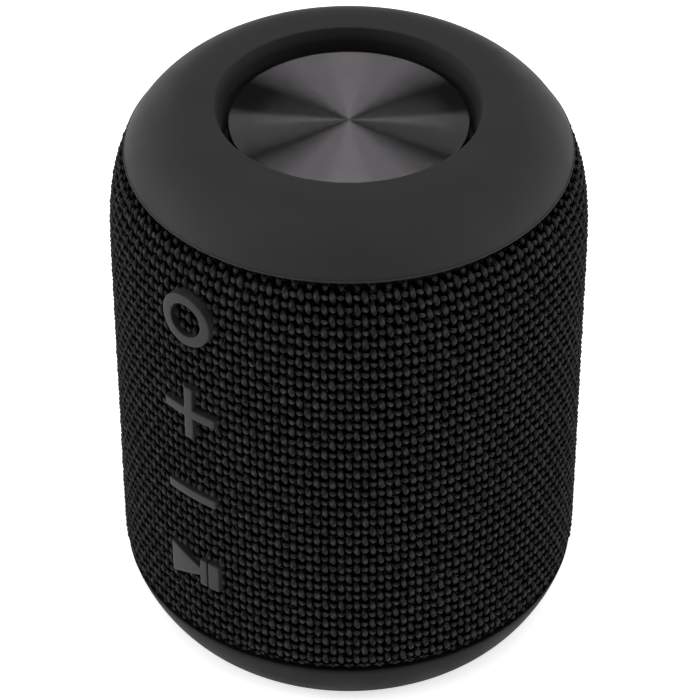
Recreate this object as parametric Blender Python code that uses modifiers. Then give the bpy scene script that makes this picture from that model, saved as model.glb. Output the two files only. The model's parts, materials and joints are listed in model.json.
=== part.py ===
"""Portable Bluetooth speaker: an upright cylinder in a woven cloth sleeve, with a soft-touch cap
around a sprung metal radiator disc and a column of four raised buttons.

Blender 4.5 script. The numbers below are millimetres; every object is made in metres, +Z up, with
the origin on the centre of the foot's resting face. The buttons face -Y and the port flap +Y.
"""

import math

import bmesh
import bpy
from mathutils import Matrix

MM = 0.001
GAP = 0.3  # clearance kept between neighbouring pieces
RING_STEPS = 40  # facets around the large turned pieces, so that nested shells stay parallel
INNER_STEPS = 24  # facets around the hidden radiator rings
DRIVER_STEPS = 16
SCREW_STEPS = 12

# Outside form: a straight drum that closes in a dome above and a tighter curve below.
BODY_RADIUS = 45.0
BODY_HEIGHT = 114.5
DOME_START_Z = 80.0
DOME_TOP_RADIUS = 30.3
DOME_POWER_Z = 3.55
DOME_POWER_R = 1.52
FOOT_CURVE_Z = 14.8
FOOT_CURVE_RADIUS = 36.5
FOOT_CURVE_POWER = 1.43

# Cap and the recess in it.
CAP_SEAM_Z = 104.8
CAP_WALL = 2.0
RIM_RADIUS = 24.8
WELL_RADIUS = 23.6
WELL_WALL = 2.9
WELL_STRAIGHT_Z = 110.2
CAP_SKIRT_RADIUS = 38.9
CAP_SKIRT_Z = 101.0

# Base, cloth and the slotted shell that the cloth is stretched over.
BASE_SEAM_Z = 12.8
BASE_LOW_Z = 0.8
BASE_FLOOR_Z = 4.2
BASE_WALL = 2.2
BASE_LIP_TOP_Z = 18.0
FOOT_RADIUS = 33.0
FOOT_THICKNESS = 1.2
CLOTH_THICKNESS = 0.8
CLOTH_LOW_Z = 13.6
SHELL_WALL = 1.6
SHELL_LOW_Z = 13.1
SHELL_TOP_Z = 104.2
SLOT_WIDTH = 2.2
SLOT_PITCH_DEG = 8.0
SLOTS_PER_SIDE = 7
SLOT_HALF_HEIGHT = 17.0

# Buttons: raised symbols in one column, each on a flange behind the shell.
SYMBOL_TOP_RADIUS = 45.8
SYMBOL_STROKE = 2.0
FLANGE_FRONT_Y = -41.0
FLANGE_BACK_Y = -40.5
POWER_Z = 91.1
POWER_RADIUS = 5.6
POWER_HOLE_RADIUS = 3.5
POWER_FLOOR_DEPTH = 2.7
INLAY_THICKNESS = 1.3
PLUS_Z = 69.4
PLUS_SPAN = 12.0
MINUS_Z = 49.6
MINUS_SPAN = 11.5
PLAY_Z = 30.8
PLAY_LEFT = -5.9
PLAY_RIGHT = 5.9
PLAY_HALF_HEIGHT = 3.95
PLAY_TIP_X = 1.5
PLAY_TIP_HALF_HEIGHT = 0.95
PAUSE_HALF_HEIGHT = 3.2
PAUSE_GROOVE_X = 3.3
PAUSE_GROOVE_WIDTH = 0.45
FLANGE_SPAN = 13.4
FLANGE_MARGIN = 1.3

# Passive radiator under the cap.
DISC_RADIUS = 22.35
DISC_TOP_Z = 110.7
DISC_THICKNESS = 1.0
SURROUND_Z = 104.0
SURROUND_WALL = 0.8
ROLL_CENTRE_RADIUS = 20.25
ROLL_RADIUS = 2.95
FRAME_TOP_Z = 103.3
FRAME_FLANGE_Z = 99.3
FRAME_FLANGE_TOP_Z = 100.9
FRAME_RADIUS = 37.0
RADIATOR_SCREW_AT = (12.0, 32.0)

# Inner acoustic enclosure.
ENCLOSURE_RADIUS = 38.0
ENCLOSURE_FLAT_X = 31.0
ENCLOSURE_WALL = 2.0
ENCLOSURE_LOW_Z = 33.0
ENCLOSURE_TOP_Z = 98.0
POST_AT = 19.8
POST_RADIUS = 3.2
SCREW_HOLE_RADIUS = 1.5

# Drivers, one on each flat of the enclosure, on an axis along X.
DRIVER_Z = 62.0
DRIVER_HOLE_RADIUS = 17.5
DRIVER_LEAD_AT = (24.0, 1.5)

# Electronics.
BOARD_RADIUS = 35.0
BOARD_LOW_Z = 24.4
BOARD_THICKNESS = 1.2
BUTTON_BOARD_INNER_Y = -38.3
BUTTON_BOARD_THICKNESS = 0.8
SWITCH_HEIGHT = 0.5
SWITCH_HALF_WIDTH = 2.5
CELL_RADIUS = 9.15
CELL_LENGTH = 65.0
CELL_Z = 14.2

# Port panel and its flap, low on the back.
PORT_Z = 28.0
PANEL_HALF_WIDTH = 17.3
PANEL_HALF_HEIGHT = 6.8
PANEL_RADIUS = 45.2
PANEL_INNER_Y = 38.3
PANEL_BACK_WALL = 1.2
PANEL_CORNER = 3.0
RECESS_HALF_WIDTH = 14.5
RECESS_HALF_HEIGHT = 4.7
FLAP_THICKNESS = 1.8
FLAP_BARREL_RADIUS = 0.9
USB_CENTRE = (-7.5, 27.5)
JACK_CENTRE = (7.0, 28.4)


def outer_radius(z):
    """Radius of the outside form at a height."""
    if z > DOME_START_Z:
        share = (z - DOME_START_Z) / (BODY_HEIGHT - DOME_START_Z)
        sine = min(1.0, share ** (DOME_POWER_Z / 2.0))
        swing = math.sqrt(1.0 - sine * sine) ** (2.0 / DOME_POWER_R)
        return DOME_TOP_RADIUS + (BODY_RADIUS - DOME_TOP_RADIUS) * swing
    if z < FOOT_CURVE_Z:
        share = (FOOT_CURVE_Z - z) / FOOT_CURVE_Z
        sine = min(1.0, share ** (FOOT_CURVE_POWER / 2.0))
        swing = math.sqrt(1.0 - sine * sine) ** (2.0 / FOOT_CURVE_POWER)
        return FOOT_CURVE_RADIUS + (BODY_RADIUS - FOOT_CURVE_RADIUS) * swing
    return BODY_RADIUS


def dome_point(angle, inset=0.0):
    """A point of the dome at its curve angle (90 degrees is the flat top), moved in by inset."""
    ends = []
    for a in (angle, angle - 0.002):
        swing = max(0.0, math.cos(a)) ** (2.0 / DOME_POWER_R)
        rise = math.sin(a) ** (2.0 / DOME_POWER_Z)
        r = DOME_TOP_RADIUS + (BODY_RADIUS - DOME_TOP_RADIUS) * swing
        z = DOME_START_Z + (BODY_HEIGHT - DOME_START_Z) * rise
        ends.append((r, z))
    (r, z), (r_next, z_next) = ends
    length = math.hypot(r_next - r, z_next - z)
    return r + (z_next - z) / length * inset, z - (r_next - r) / length * inset


# ---------------------------------------------------------------- scene and materials


def clear_scene():
    for obj in list(bpy.data.objects):
        bpy.data.objects.remove(obj)


def new_collection(name):
    made = bpy.data.collections.new(name)
    bpy.context.scene.collection.children.link(made)
    return made


def make_material(name, colour, roughness, metallic=0.0):
    made = bpy.data.materials.new(name)
    made.use_nodes = True
    shader = made.node_tree.nodes["Principled BSDF"]
    shader.inputs["Base Color"].default_value = (*colour, 1.0)
    shader.inputs["Roughness"].default_value = roughness
    shader.inputs["Metallic"].default_value = metallic
    return made


clear_scene()
PARTS = new_collection("portable_bluetooth_speaker")
CUTTERS = new_collection("cutters")

SOFT_TOUCH = ((0.030, 0.030, 0.032), 0.62)
CLOTH = ((0.012, 0.012, 0.013), 0.92)
SILICONE = ((0.045, 0.045, 0.047), 0.55)
RUBBER = ((0.018, 0.018, 0.019), 0.70)
INNER_PLASTIC = ((0.040, 0.040, 0.042), 0.50)
SPUN_ALUMINIUM = ((0.16, 0.16, 0.165), 0.28, 1.0)
STEEL = ((0.52, 0.52, 0.54), 0.32, 1.0)
FERRITE = ((0.060, 0.058, 0.060), 0.60)
COPPER = ((0.72, 0.38, 0.20), 0.35, 1.0)
PAPER = ((0.050, 0.050, 0.052), 0.80)
SPIDER_CLOTH = ((0.55, 0.36, 0.10), 0.90)
FOAM = ((0.080, 0.080, 0.082), 0.95)
CIRCUIT = ((0.020, 0.16, 0.060), 0.40)
TINNED = ((0.60, 0.60, 0.62), 0.35, 1.0)
CHIP = ((0.025, 0.025, 0.027), 0.45)
LAMP = ((0.80, 0.85, 0.95), 0.20)
CELL_WRAP = ((0.060, 0.16, 0.42), 0.38)
LEAD = ((0.45, 0.030, 0.025), 0.50)
RIBBON = ((0.60, 0.34, 0.10), 0.40)


# ---------------------------------------------------------------- building blocks


def add_object(name, mesh, look=None):
    """Links a mesh as a part with its material or, with no look, as a hidden cutter."""
    obj = bpy.data.objects.new(name, mesh)
    if look is None:
        CUTTERS.objects.link(obj)
        obj.hide_render = True
        obj.display_type = "WIRE"
    else:
        PARTS.objects.link(obj)
        mesh.materials.append(make_material(name, *look))
    return obj


def smooth(obj):
    obj.data.shade_smooth()
    obj.data.set_sharp_from_angle(angle=math.radians(35.0))
    return obj


def turned(name, profile, look=None, steps=RING_STEPS, closed=True):
    """A profile of (radius, height) points swept around Z. Its outer side runs downwards."""
    mesh = bpy.data.meshes.new(name)
    points = [(r * MM, 0.0, z * MM) for r, z in profile]
    edges = [(i, i + 1) for i in range(len(points) - 1)]
    if closed:
        edges.append((len(points) - 1, 0))
    mesh.from_pydata(points, edges, [])
    obj = add_object(name, mesh, look)
    screw = obj.modifiers.new("turn", "SCREW")
    screw.axis = "Z"
    screw.angle = math.tau
    screw.steps = steps
    screw.render_steps = steps
    screw.use_merge_vertices = True
    screw.merge_threshold = 0.00001
    screw.use_smooth_shade = True
    return obj


def block(name, low, high, look=None, bevel=0.0):
    """A box between two corners, with optional rounded edges."""
    mesh = bpy.data.meshes.new(name)
    size = [(b - a) * MM for a, b in zip(low, high)]
    middle = [(a + b) / 2.0 * MM for a, b in zip(low, high)]
    shape = bmesh.new()
    bmesh.ops.create_cube(shape, size=1.0, matrix=Matrix.Diagonal((*size, 1.0)))
    shape.to_mesh(mesh)
    shape.free()
    obj = add_object(name, mesh, look)
    obj.location = middle
    if bevel:
        rounding = obj.modifiers.new("rounding", "BEVEL")
        rounding.width = bevel * MM
        rounding.segments = 2
    return obj


def rod(name, radius, low, high, axis="Z", at=(0.0, 0.0), look=None, steps=24):
    """A cylinder along an axis from low to high. at holds its other two coordinates, in order."""
    mesh = bpy.data.meshes.new(name)
    shape = bmesh.new()
    bmesh.ops.create_cone(
        shape,
        cap_ends=True,
        segments=steps,
        radius1=radius * MM,
        radius2=radius * MM,
        depth=(high - low) * MM,
    )
    shape.to_mesh(mesh)
    shape.free()
    obj = add_object(name, mesh, look)
    middle = (low + high) / 2.0 * MM
    a, b = at[0] * MM, at[1] * MM
    if axis == "X":
        obj.location = (middle, a, b)
        obj.rotation_euler = (0.0, math.pi / 2.0, 0.0)
    elif axis == "Y":
        obj.location = (a, middle, b)
        obj.rotation_euler = (-math.pi / 2.0, 0.0, 0.0)
    else:
        obj.location = (a, b, middle)
    return obj


def plate(name, outline, low_y, high_y, centre_z, look=None):
    """A flat outline of (x, height) points, extruded along Y between two depths."""
    curve = bpy.data.curves.new(name + "_outline", "CURVE")
    curve.dimensions = "2D"
    curve.fill_mode = "BOTH"
    curve.extrude = (high_y - low_y) / 2.0 * MM
    spline = curve.splines.new("POLY")
    spline.points.add(len(outline) - 1)
    for point, (x, height) in zip(spline.points, outline):
        point.co = (x * MM, height * MM, 0.0, 1.0)
    spline.use_cyclic_u = True
    guide = bpy.data.objects.new(name + "_outline", curve)
    CUTTERS.objects.link(guide)
    guide.location = (0.0, (low_y + high_y) / 2.0 * MM, centre_z * MM)
    guide.rotation_euler = (math.pi / 2.0, 0.0, 0.0)
    return as_mesh(guide, name, look)


def tube(name, route, radius, look):
    """A wire of one diameter along a list of points."""
    curve = bpy.data.curves.new(name + "_route", "CURVE")
    curve.dimensions = "3D"
    curve.bevel_depth = radius * MM
    curve.bevel_resolution = 2
    curve.use_fill_caps = True
    spline = curve.splines.new("POLY")
    spline.points.add(len(route) - 1)
    for point, place in zip(spline.points, route):
        point.co = (*[c * MM for c in place], 1.0)
    guide = bpy.data.objects.new(name + "_route", curve)
    CUTTERS.objects.link(guide)
    return smooth(as_mesh(guide, name, look))


def as_mesh(guide, name, look):
    """Turns a curve object into a closed mesh object and removes the curve."""
    bpy.context.view_layer.update()
    graph = bpy.context.evaluated_depsgraph_get()
    mesh = bpy.data.meshes.new_from_object(guide.evaluated_get(graph))
    mesh.materials.clear()
    shape = bmesh.new()
    shape.from_mesh(mesh)
    bmesh.ops.remove_doubles(shape, verts=shape.verts, dist=0.000001)
    bmesh.ops.recalc_face_normals(shape, faces=shape.faces)
    shape.to_mesh(mesh)
    shape.free()
    obj = add_object(name, mesh, look)
    obj.matrix_world = guide.matrix_world.copy()
    bpy.data.objects.remove(guide)
    return obj


def combine(obj, other, operation):
    """Adds a Boolean modifier: DIFFERENCE, UNION or INTERSECT."""
    step = obj.modifiers.new(operation.lower() + "_" + other.name, "BOOLEAN")
    step.operation = operation
    step.object = other
    step.solver = "EXACT"


def cut(obj, *cutters):
    for cutter in cutters:
        combine(obj, cutter, "DIFFERENCE")


def join(obj, *others):
    for other in others:
        combine(obj, other, "UNION")


def rounded_rectangle(half_width, half_height, corner, corner_steps=4):
    points = []
    for quarter, (sx, sz) in enumerate(((1, 1), (-1, 1), (-1, -1), (1, -1))):
        for step in range(corner_steps + 1):
            angle = (quarter + step / corner_steps) * math.pi / 2.0
            x = sx * (half_width - corner) + corner * math.cos(angle)
            z = sz * (half_height - corner) + corner * math.sin(angle)
            points.append((x, z))
    return points


def corners(reach_x, reach_y):
    """The four corners of a pattern centred on the Z axis."""
    return [(sx * reach_x, sy * reach_y) for sx in (-1, 1) for sy in (-1, 1)]


# ---------------------------------------------------------------- symbols


def plus_outline(grow=0.0):
    arm = PLUS_SPAN / 2.0 + grow
    half = SYMBOL_STROKE / 2.0 + grow
    return [
        (arm, half), (half, half), (half, arm), (-half, arm), (-half, half), (-arm, half),
        (-arm, -half), (-half, -half), (-half, -arm), (half, -arm), (half, -half), (arm, -half),
    ]


def minus_outline(grow=0.0):
    arm = MINUS_SPAN / 2.0 + grow
    half = SYMBOL_STROKE / 2.0 + grow
    return [(arm, half), (-arm, half), (-arm, -half), (arm, -half)]


def play_outline(grow=0.0):
    """A blunt triangle that runs into a square block, the pause bars."""
    upper = [
        (PLAY_RIGHT + grow, PAUSE_HALF_HEIGHT + grow),
        (PLAY_TIP_X - grow, PAUSE_HALF_HEIGHT + grow),
        (PLAY_TIP_X - grow, PLAY_TIP_HALF_HEIGHT + grow),
        (PLAY_LEFT - grow, PLAY_HALF_HEIGHT + 1.5 * grow),
    ]
    return upper + [(x, -z) for x, z in reversed(upper)]


SYMBOLS = (
    ("volume_up", PLUS_Z, plus_outline, PLUS_SPAN / 2.0),
    ("volume_down", MINUS_Z, minus_outline, SYMBOL_STROKE / 2.0),
    ("play_pause", PLAY_Z, play_outline, PLAY_HALF_HEIGHT),
)


def make_buttons():
    """The four buttons. Each slides inwards, along +Y."""
    surface = rod("symbol_surface", SYMBOL_TOP_RADIUS, 10.0, 110.0, steps=96)
    front = -(SYMBOL_TOP_RADIUS + 1.0)
    ring = turned(
        "power_button",
        [
            (0.0, -FLANGE_BACK_Y - BODY_RADIUS + POWER_FLOOR_DEPTH),
            (POWER_HOLE_RADIUS, -FLANGE_BACK_Y - BODY_RADIUS + POWER_FLOOR_DEPTH),
            (POWER_HOLE_RADIUS, -front - BODY_RADIUS),
            (POWER_RADIUS, -front - BODY_RADIUS),
            (POWER_RADIUS, -FLANGE_FRONT_Y - BODY_RADIUS),
            (FLANGE_SPAN / 2.0, -FLANGE_FRONT_Y - BODY_RADIUS),
            (FLANGE_SPAN / 2.0, -FLANGE_BACK_Y - BODY_RADIUS),
            (0.0, -FLANGE_BACK_Y - BODY_RADIUS),
        ],
        SILICONE,
        steps=32,
        closed=False,
    )
    ring.location = (0.0, -BODY_RADIUS * MM, POWER_Z * MM)
    ring.rotation_euler = (math.pi / 2.0, 0.0, 0.0)
    combine(ring, surface, "INTERSECT")
    floor = FLANGE_BACK_Y - POWER_FLOOR_DEPTH
    inlay = rod(
        "power_button_cloth_inlay",
        POWER_HOLE_RADIUS - GAP,
        floor - GAP - INLAY_THICKNESS,
        floor - GAP,
        axis="Y",
        at=(0.0, POWER_Z),
        look=CLOTH,
    )
    smooth(inlay)
    for name, height, outline, half_height in SYMBOLS:
        button = plate(name + "_button", outline(), front, FLANGE_FRONT_Y + 0.2, height, SILICONE)
        reach = FLANGE_SPAN / 2.0
        rise = half_height + FLANGE_MARGIN
        flange = block(
            name + "_flange",
            (-reach, FLANGE_FRONT_Y, height - rise),
            (reach, FLANGE_BACK_Y, height + rise),
        )
        join(button, flange)
        combine(button, surface, "INTERSECT")
        if name == "play_pause":
            half = PAUSE_GROOVE_WIDTH / 2.0
            groove = block(
                "pause_groove",
                (PAUSE_GROOVE_X - half, front - 1.0, height - 6.0),
                (PAUSE_GROOVE_X + half, -BODY_RADIUS, height + 6.0),
            )
            cut(button, groove)


def symbol_cutters():
    """What the sleeve and the shell lose so that the buttons pass through with clearance."""
    reach = -(BODY_RADIUS + 3.0)
    at = (0.0, POWER_Z)
    made = [rod("power_opening", POWER_RADIUS + GAP, reach, -35.0, axis="Y", at=at, steps=32)]
    for name, height, outline, _ in SYMBOLS:
        made.append(plate(name + "_opening", outline(GAP), reach, -35.0, height))
    return made


# ---------------------------------------------------------------- outside pieces


def make_top_cap():
    seam_share = (CAP_SEAM_Z - DOME_START_Z) / (BODY_HEIGHT - DOME_START_Z)
    seam = math.asin(seam_share ** (DOME_POWER_Z / 2.0))
    count = 6
    outside = [dome_point(math.pi / 2 - (math.pi / 2 - seam) * i / count) for i in range(count + 1)]
    inside = [dome_point(math.radians(angle), CAP_WALL) for angle in (44.0, 58.0, 76.0)]
    well_outer = WELL_RADIUS + WELL_WALL
    profile = [(RIM_RADIUS + 0.2, BODY_HEIGHT - 0.2), (RIM_RADIUS + 0.7, BODY_HEIGHT)]
    profile += outside
    profile += [
        (CAP_SKIRT_RADIUS, CAP_SEAM_Z),
        (CAP_SKIRT_RADIUS, CAP_SKIRT_Z),
        (CAP_SKIRT_RADIUS - 1.4, CAP_SKIRT_Z),
        (CAP_SKIRT_RADIUS - 1.4, CAP_SEAM_Z),
    ]
    profile += inside
    profile += [
        (well_outer, BODY_HEIGHT - CAP_WALL),
        (well_outer, CAP_SEAM_Z),
        (WELL_RADIUS, CAP_SEAM_Z),
        (WELL_RADIUS, WELL_STRAIGHT_Z),
        (RIM_RADIUS, BODY_HEIGHT - 0.7),
    ]
    turned("top_cap", profile, SOFT_TOUCH)


def sleeve_profile(heights, outer_inset, inner_inset):
    outside = [(outer_radius(z) - outer_inset, z) for z in heights]
    inside = [(outer_radius(z) - inner_inset, z) for z in reversed(heights)]
    return outside + inside


def make_cloth_sleeve(openings):
    heights = (CAP_SEAM_Z - GAP, 101.0, 95.0, 88.0, DOME_START_Z, FOOT_CURVE_Z, CLOTH_LOW_Z)
    cloth = turned("cloth_sleeve", sleeve_profile(heights, 0.0, CLOTH_THICKNESS), CLOTH)
    cut(cloth, *openings)


def make_grille_shell(openings):
    heights = (SHELL_TOP_Z, 101.0, 95.0, 88.0, DOME_START_Z, FOOT_CURVE_Z, SHELL_LOW_Z)
    outer_inset = CLOTH_THICKNESS + GAP
    profile = sleeve_profile(heights, outer_inset, outer_inset + SHELL_WALL)
    shell = turned("grille_shell", profile, INNER_PLASTIC)
    cut(shell, *openings)
    middle = (SLOTS_PER_SIDE - 1) / 2.0
    for i in range(SLOTS_PER_SIDE):
        turn = math.radians((i - middle) * SLOT_PITCH_DEG)
        slot = block(
            f"grille_slot_{i + 1}",
            (-60.0, -SLOT_WIDTH / 2.0, DRIVER_Z - SLOT_HALF_HEIGHT),
            (60.0, SLOT_WIDTH / 2.0, DRIVER_Z + SLOT_HALF_HEIGHT),
        )
        slot.rotation_euler = (0.0, 0.0, turn)
        cut(shell, slot)


def make_base_cap():
    heights = (BASE_SEAM_Z - 0.3, 9.0, 5.6, 2.6, BASE_LOW_Z)
    lip_outer = BODY_RADIUS - CLOTH_THICKNESS - GAP - SHELL_WALL - GAP
    lip_inner = lip_outer - 1.6
    profile = [(0.0, BASE_FLOOR_Z)]
    profile += [(outer_radius(z) - BASE_WALL, z) for z in (BASE_FLOOR_Z, 8.0)]
    profile += [
        (lip_inner, BASE_SEAM_Z),
        (lip_inner, BASE_LIP_TOP_Z),
        (lip_outer, BASE_LIP_TOP_Z),
        (lip_outer, BASE_SEAM_Z),
        (outer_radius(BASE_SEAM_Z) - 0.4, BASE_SEAM_Z),
    ]
    profile += [(outer_radius(z), z) for z in heights]
    recess_top = FOOT_THICKNESS + GAP
    profile += [(FOOT_RADIUS + GAP, BASE_LOW_Z), (FOOT_RADIUS + GAP, recess_top), (0.0, recess_top)]
    base = turned("base_cap", profile, SOFT_TOUCH, closed=False)
    for i, at in enumerate(corners(POST_AT, POST_AT)):
        hole = rod(f"base_hole_{i + 1}", SCREW_HOLE_RADIUS, 0.5, 6.0, at=at, steps=SCREW_STEPS)
        seat = rod(f"base_seat_{i + 1}", 2.5, 0.5, 3.2, at=at, steps=SCREW_STEPS)
        cut(base, hole, seat)


def make_foot_pad():
    profile = [
        (0.0, FOOT_THICKNESS),
        (FOOT_RADIUS, FOOT_THICKNESS),
        (FOOT_RADIUS, 0.4),
        (FOOT_RADIUS - 0.4, 0.0),
        (0.0, 0.0),
    ]
    turned("foot_pad", profile, RUBBER, closed=False)


def make_port_panel():
    outline = rounded_rectangle(PANEL_HALF_WIDTH, PANEL_HALF_HEIGHT, PANEL_CORNER)
    panel = plate("port_panel", outline, PANEL_INNER_Y, PANEL_RADIUS + 1.0, PORT_Z, INNER_PLASTIC)
    surface = rod("panel_surface", PANEL_RADIUS, 10.0, 50.0, steps=96)
    combine(panel, surface, "INTERSECT")
    recess = block(
        "panel_recess",
        (-RECESS_HALF_WIDTH, PANEL_INNER_Y + PANEL_BACK_WALL, PORT_Z - RECESS_HALF_HEIGHT),
        (RECESS_HALF_WIDTH, PANEL_RADIUS + 5.0, PORT_Z + RECESS_HALF_HEIGHT),
    )
    usb_hole = block(
        "panel_usb_hole",
        (USB_CENTRE[0] - 4.8, PANEL_INNER_Y - 2.0, USB_CENTRE[1] - 1.9),
        (USB_CENTRE[0] + 4.8, PANEL_INNER_Y + 3.0, USB_CENTRE[1] + 1.9),
    )
    hole_start = PANEL_INNER_Y - 2.0
    hole_end = PANEL_INNER_Y + 3.0
    jack_hole = rod("panel_jack_hole", 2.2, hole_start, hole_end, axis="Y", at=JACK_CENTRE, steps=16)
    cut(panel, recess, usb_hole, jack_hole)


def make_port_flap():
    """A curved rubber door. Its barrel, at the -X end, is on the hinge axis."""
    half_height = RECESS_HALF_HEIGHT - GAP
    low = PORT_Z - half_height
    high = PORT_Z + half_height
    hinge_x = -(RECESS_HALF_WIDTH - GAP - FLAP_BARREL_RADIUS)
    middle_radius = PANEL_RADIUS - FLAP_THICKNESS / 2.0
    hinge_y = math.sqrt(middle_radius**2 - hinge_x**2)
    flap = rod("port_flap", PANEL_RADIUS, low, high, look=RUBBER, steps=96)
    inside = rod("flap_inside", PANEL_RADIUS - FLAP_THICKNESS, low - 1.0, high + 1.0, steps=96)
    cut(flap, inside)
    window = block(
        "flap_window",
        (hinge_x, 30.0, low - 1.0),
        (RECESS_HALF_WIDTH - GAP, 60.0, high + 1.0),
    )
    combine(flap, window, "INTERSECT")
    barrel = rod("flap_barrel", FLAP_BARREL_RADIUS, low, high, at=(hinge_x, hinge_y), steps=16)
    plug = block("flap_plug", (-11.0, 41.4, PORT_Z - 3.0), (11.0, 43.9, PORT_Z + 3.0))
    join(flap, barrel, plug)


# ---------------------------------------------------------------- passive radiator


def roll_profile(outer, centre_radius, height, roll, wall, inner, direction):
    """A strip that runs in from its outer flange, over one half-round roll, to its inner flange."""
    half = wall / 2.0
    upper = [(outer, height + half)]
    lower = [(outer, height - half)]
    for i in range(5):
        angle = math.pi * i / 4.0
        for side, points in ((1, upper), (-1, lower)):
            radius = roll + side * direction * half
            lift = side * half if i in (0, 4) else 0.0
            r = centre_radius + radius * math.cos(angle)
            points.append((r, height + direction * radius * math.sin(angle) + lift))
    upper.append((inner, height + half))
    lower.append((inner, height - half))
    return list(reversed(upper)) + lower


def make_radiator():
    disc_low = DISC_TOP_Z - DISC_THICKNESS
    disc = [
        (0.0, DISC_TOP_Z - 0.15),
        (DISC_RADIUS - 0.4, DISC_TOP_Z),
        (DISC_RADIUS, DISC_TOP_Z - 0.3),
        (DISC_RADIUS, disc_low),
        (0.0, disc_low),
    ]
    turned("radiator_disc", disc, SPUN_ALUMINIUM, closed=False)
    core_radius = 14.9
    mass = [
        (0.0, disc_low - GAP),
        (core_radius, disc_low - GAP),
        (core_radius, FRAME_TOP_Z),
        (core_radius + 1.6, FRAME_TOP_Z),
        (core_radius + 1.6, FRAME_TOP_Z - 1.1),
        (0.0, FRAME_TOP_Z - 1.1),
    ]
    turned("radiator_mass", mass, STEEL, steps=INNER_STEPS, closed=False)
    outer = WELL_RADIUS + WELL_WALL - 0.1
    surround = roll_profile(
        outer, ROLL_CENTRE_RADIUS, SURROUND_Z, ROLL_RADIUS, SURROUND_WALL, core_radius + GAP, -1
    )
    turned("radiator_surround", surround, RUBBER, steps=INNER_STEPS)
    step_radius = WELL_RADIUS + WELL_WALL
    frame = turned(
        "radiator_frame",
        [
            (WELL_RADIUS, FRAME_TOP_Z),
            (step_radius, FRAME_TOP_Z),
            (step_radius, FRAME_FLANGE_TOP_Z),
            (FRAME_RADIUS, FRAME_FLANGE_TOP_Z),
            (FRAME_RADIUS, FRAME_FLANGE_Z),
            (WELL_RADIUS, FRAME_FLANGE_Z),
        ],
        INNER_PLASTIC,
        steps=INNER_STEPS,
    )
    gasket_low = ENCLOSURE_TOP_Z + GAP
    gasket_top = FRAME_FLANGE_Z - GAP
    gasket = turned(
        "radiator_gasket",
        [
            (28.7, gasket_top),
            (FRAME_RADIUS, gasket_top),
            (FRAME_RADIUS, gasket_low),
            (28.7, gasket_low),
        ],
        FOAM,
        steps=INNER_STEPS,
    )
    for i, at in enumerate(corners(*RADIATOR_SCREW_AT)):
        hole = rod(f"radiator_hole_{i + 1}", SCREW_HOLE_RADIUS, 90.0, 105.0, at=at, steps=SCREW_STEPS)
        cut(frame, hole)
        cut(gasket, hole)


# ---------------------------------------------------------------- enclosure and screws


def make_enclosure():
    inner_radius = ENCLOSURE_RADIUS - ENCLOSURE_WALL
    low = ENCLOSURE_LOW_Z
    high = ENCLOSURE_TOP_Z
    floor = low + ENCLOSURE_WALL
    body = rod("enclosure_body", ENCLOSURE_RADIUS, low, high, look=INNER_PLASTIC, steps=RING_STEPS)
    flat = ENCLOSURE_FLAT_X
    outside = block("enclosure_flats", (-flat, -60.0, 20.0), (flat, 60.0, 110.0))
    combine(body, outside, "INTERSECT")
    cavity = rod("enclosure_cavity", inner_radius, floor, high + 5.0, steps=RING_STEPS)
    flat -= ENCLOSURE_WALL
    inside = block("enclosure_inner_flats", (-flat, -60.0, 20.0), (flat, 60.0, 110.0))
    combine(cavity, inside, "INTERSECT")
    cut(body, cavity)
    at = (0.0, DRIVER_Z)
    driver_holes = rod("driver_holes", DRIVER_HOLE_RADIUS, -50.0, 50.0, axis="X", at=at, steps=24)
    cut(body, driver_holes)
    post_low = BASE_FLOOR_Z + GAP
    for i, at in enumerate(corners(POST_AT, POST_AT)):
        post = rod(f"post_{i + 1}", POST_RADIUS, post_low, low + 1.0, at=at, steps=SCREW_STEPS)
        pilot = rod(f"pilot_{i + 1}", SCREW_HOLE_RADIUS, 0.0, 13.0, at=at, steps=SCREW_STEPS)
        join(body, post)
        cut(body, pilot)
    for i, at in enumerate(corners(*RADIATOR_SCREW_AT)):
        boss = rod(f"boss_{i + 1}", 3.0, 86.0, high - 0.05, at=at, steps=SCREW_STEPS)
        hole = rod(f"boss_hole_{i + 1}", SCREW_HOLE_RADIUS, 91.0, 105.0, at=at, steps=SCREW_STEPS)
        join(body, boss)
        cut(body, hole)
    for i, side in enumerate((-1, 1)):
        at = (side * DRIVER_LEAD_AT[0], DRIVER_LEAD_AT[1])
        cut(body, rod(f"lead_hole_{i + 1}", 1.3, 30.0, 40.0, at=at, steps=SCREW_STEPS))


def screw(name, at, head_low, head_high, shank_end):
    """A pan-head screw on a vertical axis. The shank runs from the head to shank_end."""
    head_radius = 2.1
    shank_radius = 1.2
    if shank_end > head_high:
        profile = [
            (0.0, shank_end),
            (shank_radius, shank_end - 0.6),
            (shank_radius, head_high),
            (head_radius, head_high),
            (head_radius, head_low + 0.4),
            (head_radius - 0.5, head_low),
            (0.0, head_low),
        ]
    else:
        profile = [
            (0.0, head_high),
            (head_radius - 0.5, head_high),
            (head_radius, head_high - 0.4),
            (head_radius, head_low),
            (shank_radius, head_low),
            (shank_radius, shank_end + 0.6),
            (0.0, shank_end),
        ]
    obj = turned(name, profile, STEEL, steps=SCREW_STEPS, closed=False)
    obj.location = (at[0] * MM, at[1] * MM, 0.0)


def make_screws():
    for i, at in enumerate(corners(POST_AT, POST_AT)):
        screw(f"base_screw_{i + 1}", at, 1.7, 2.9, 12.0)
    head_low = FRAME_FLANGE_TOP_Z + GAP
    for i, at in enumerate(corners(*RADIATOR_SCREW_AT)):
        screw(f"radiator_screw_{i + 1}", at, head_low, head_low + 1.1, 92.0)


# ---------------------------------------------------------------- drivers


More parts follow.
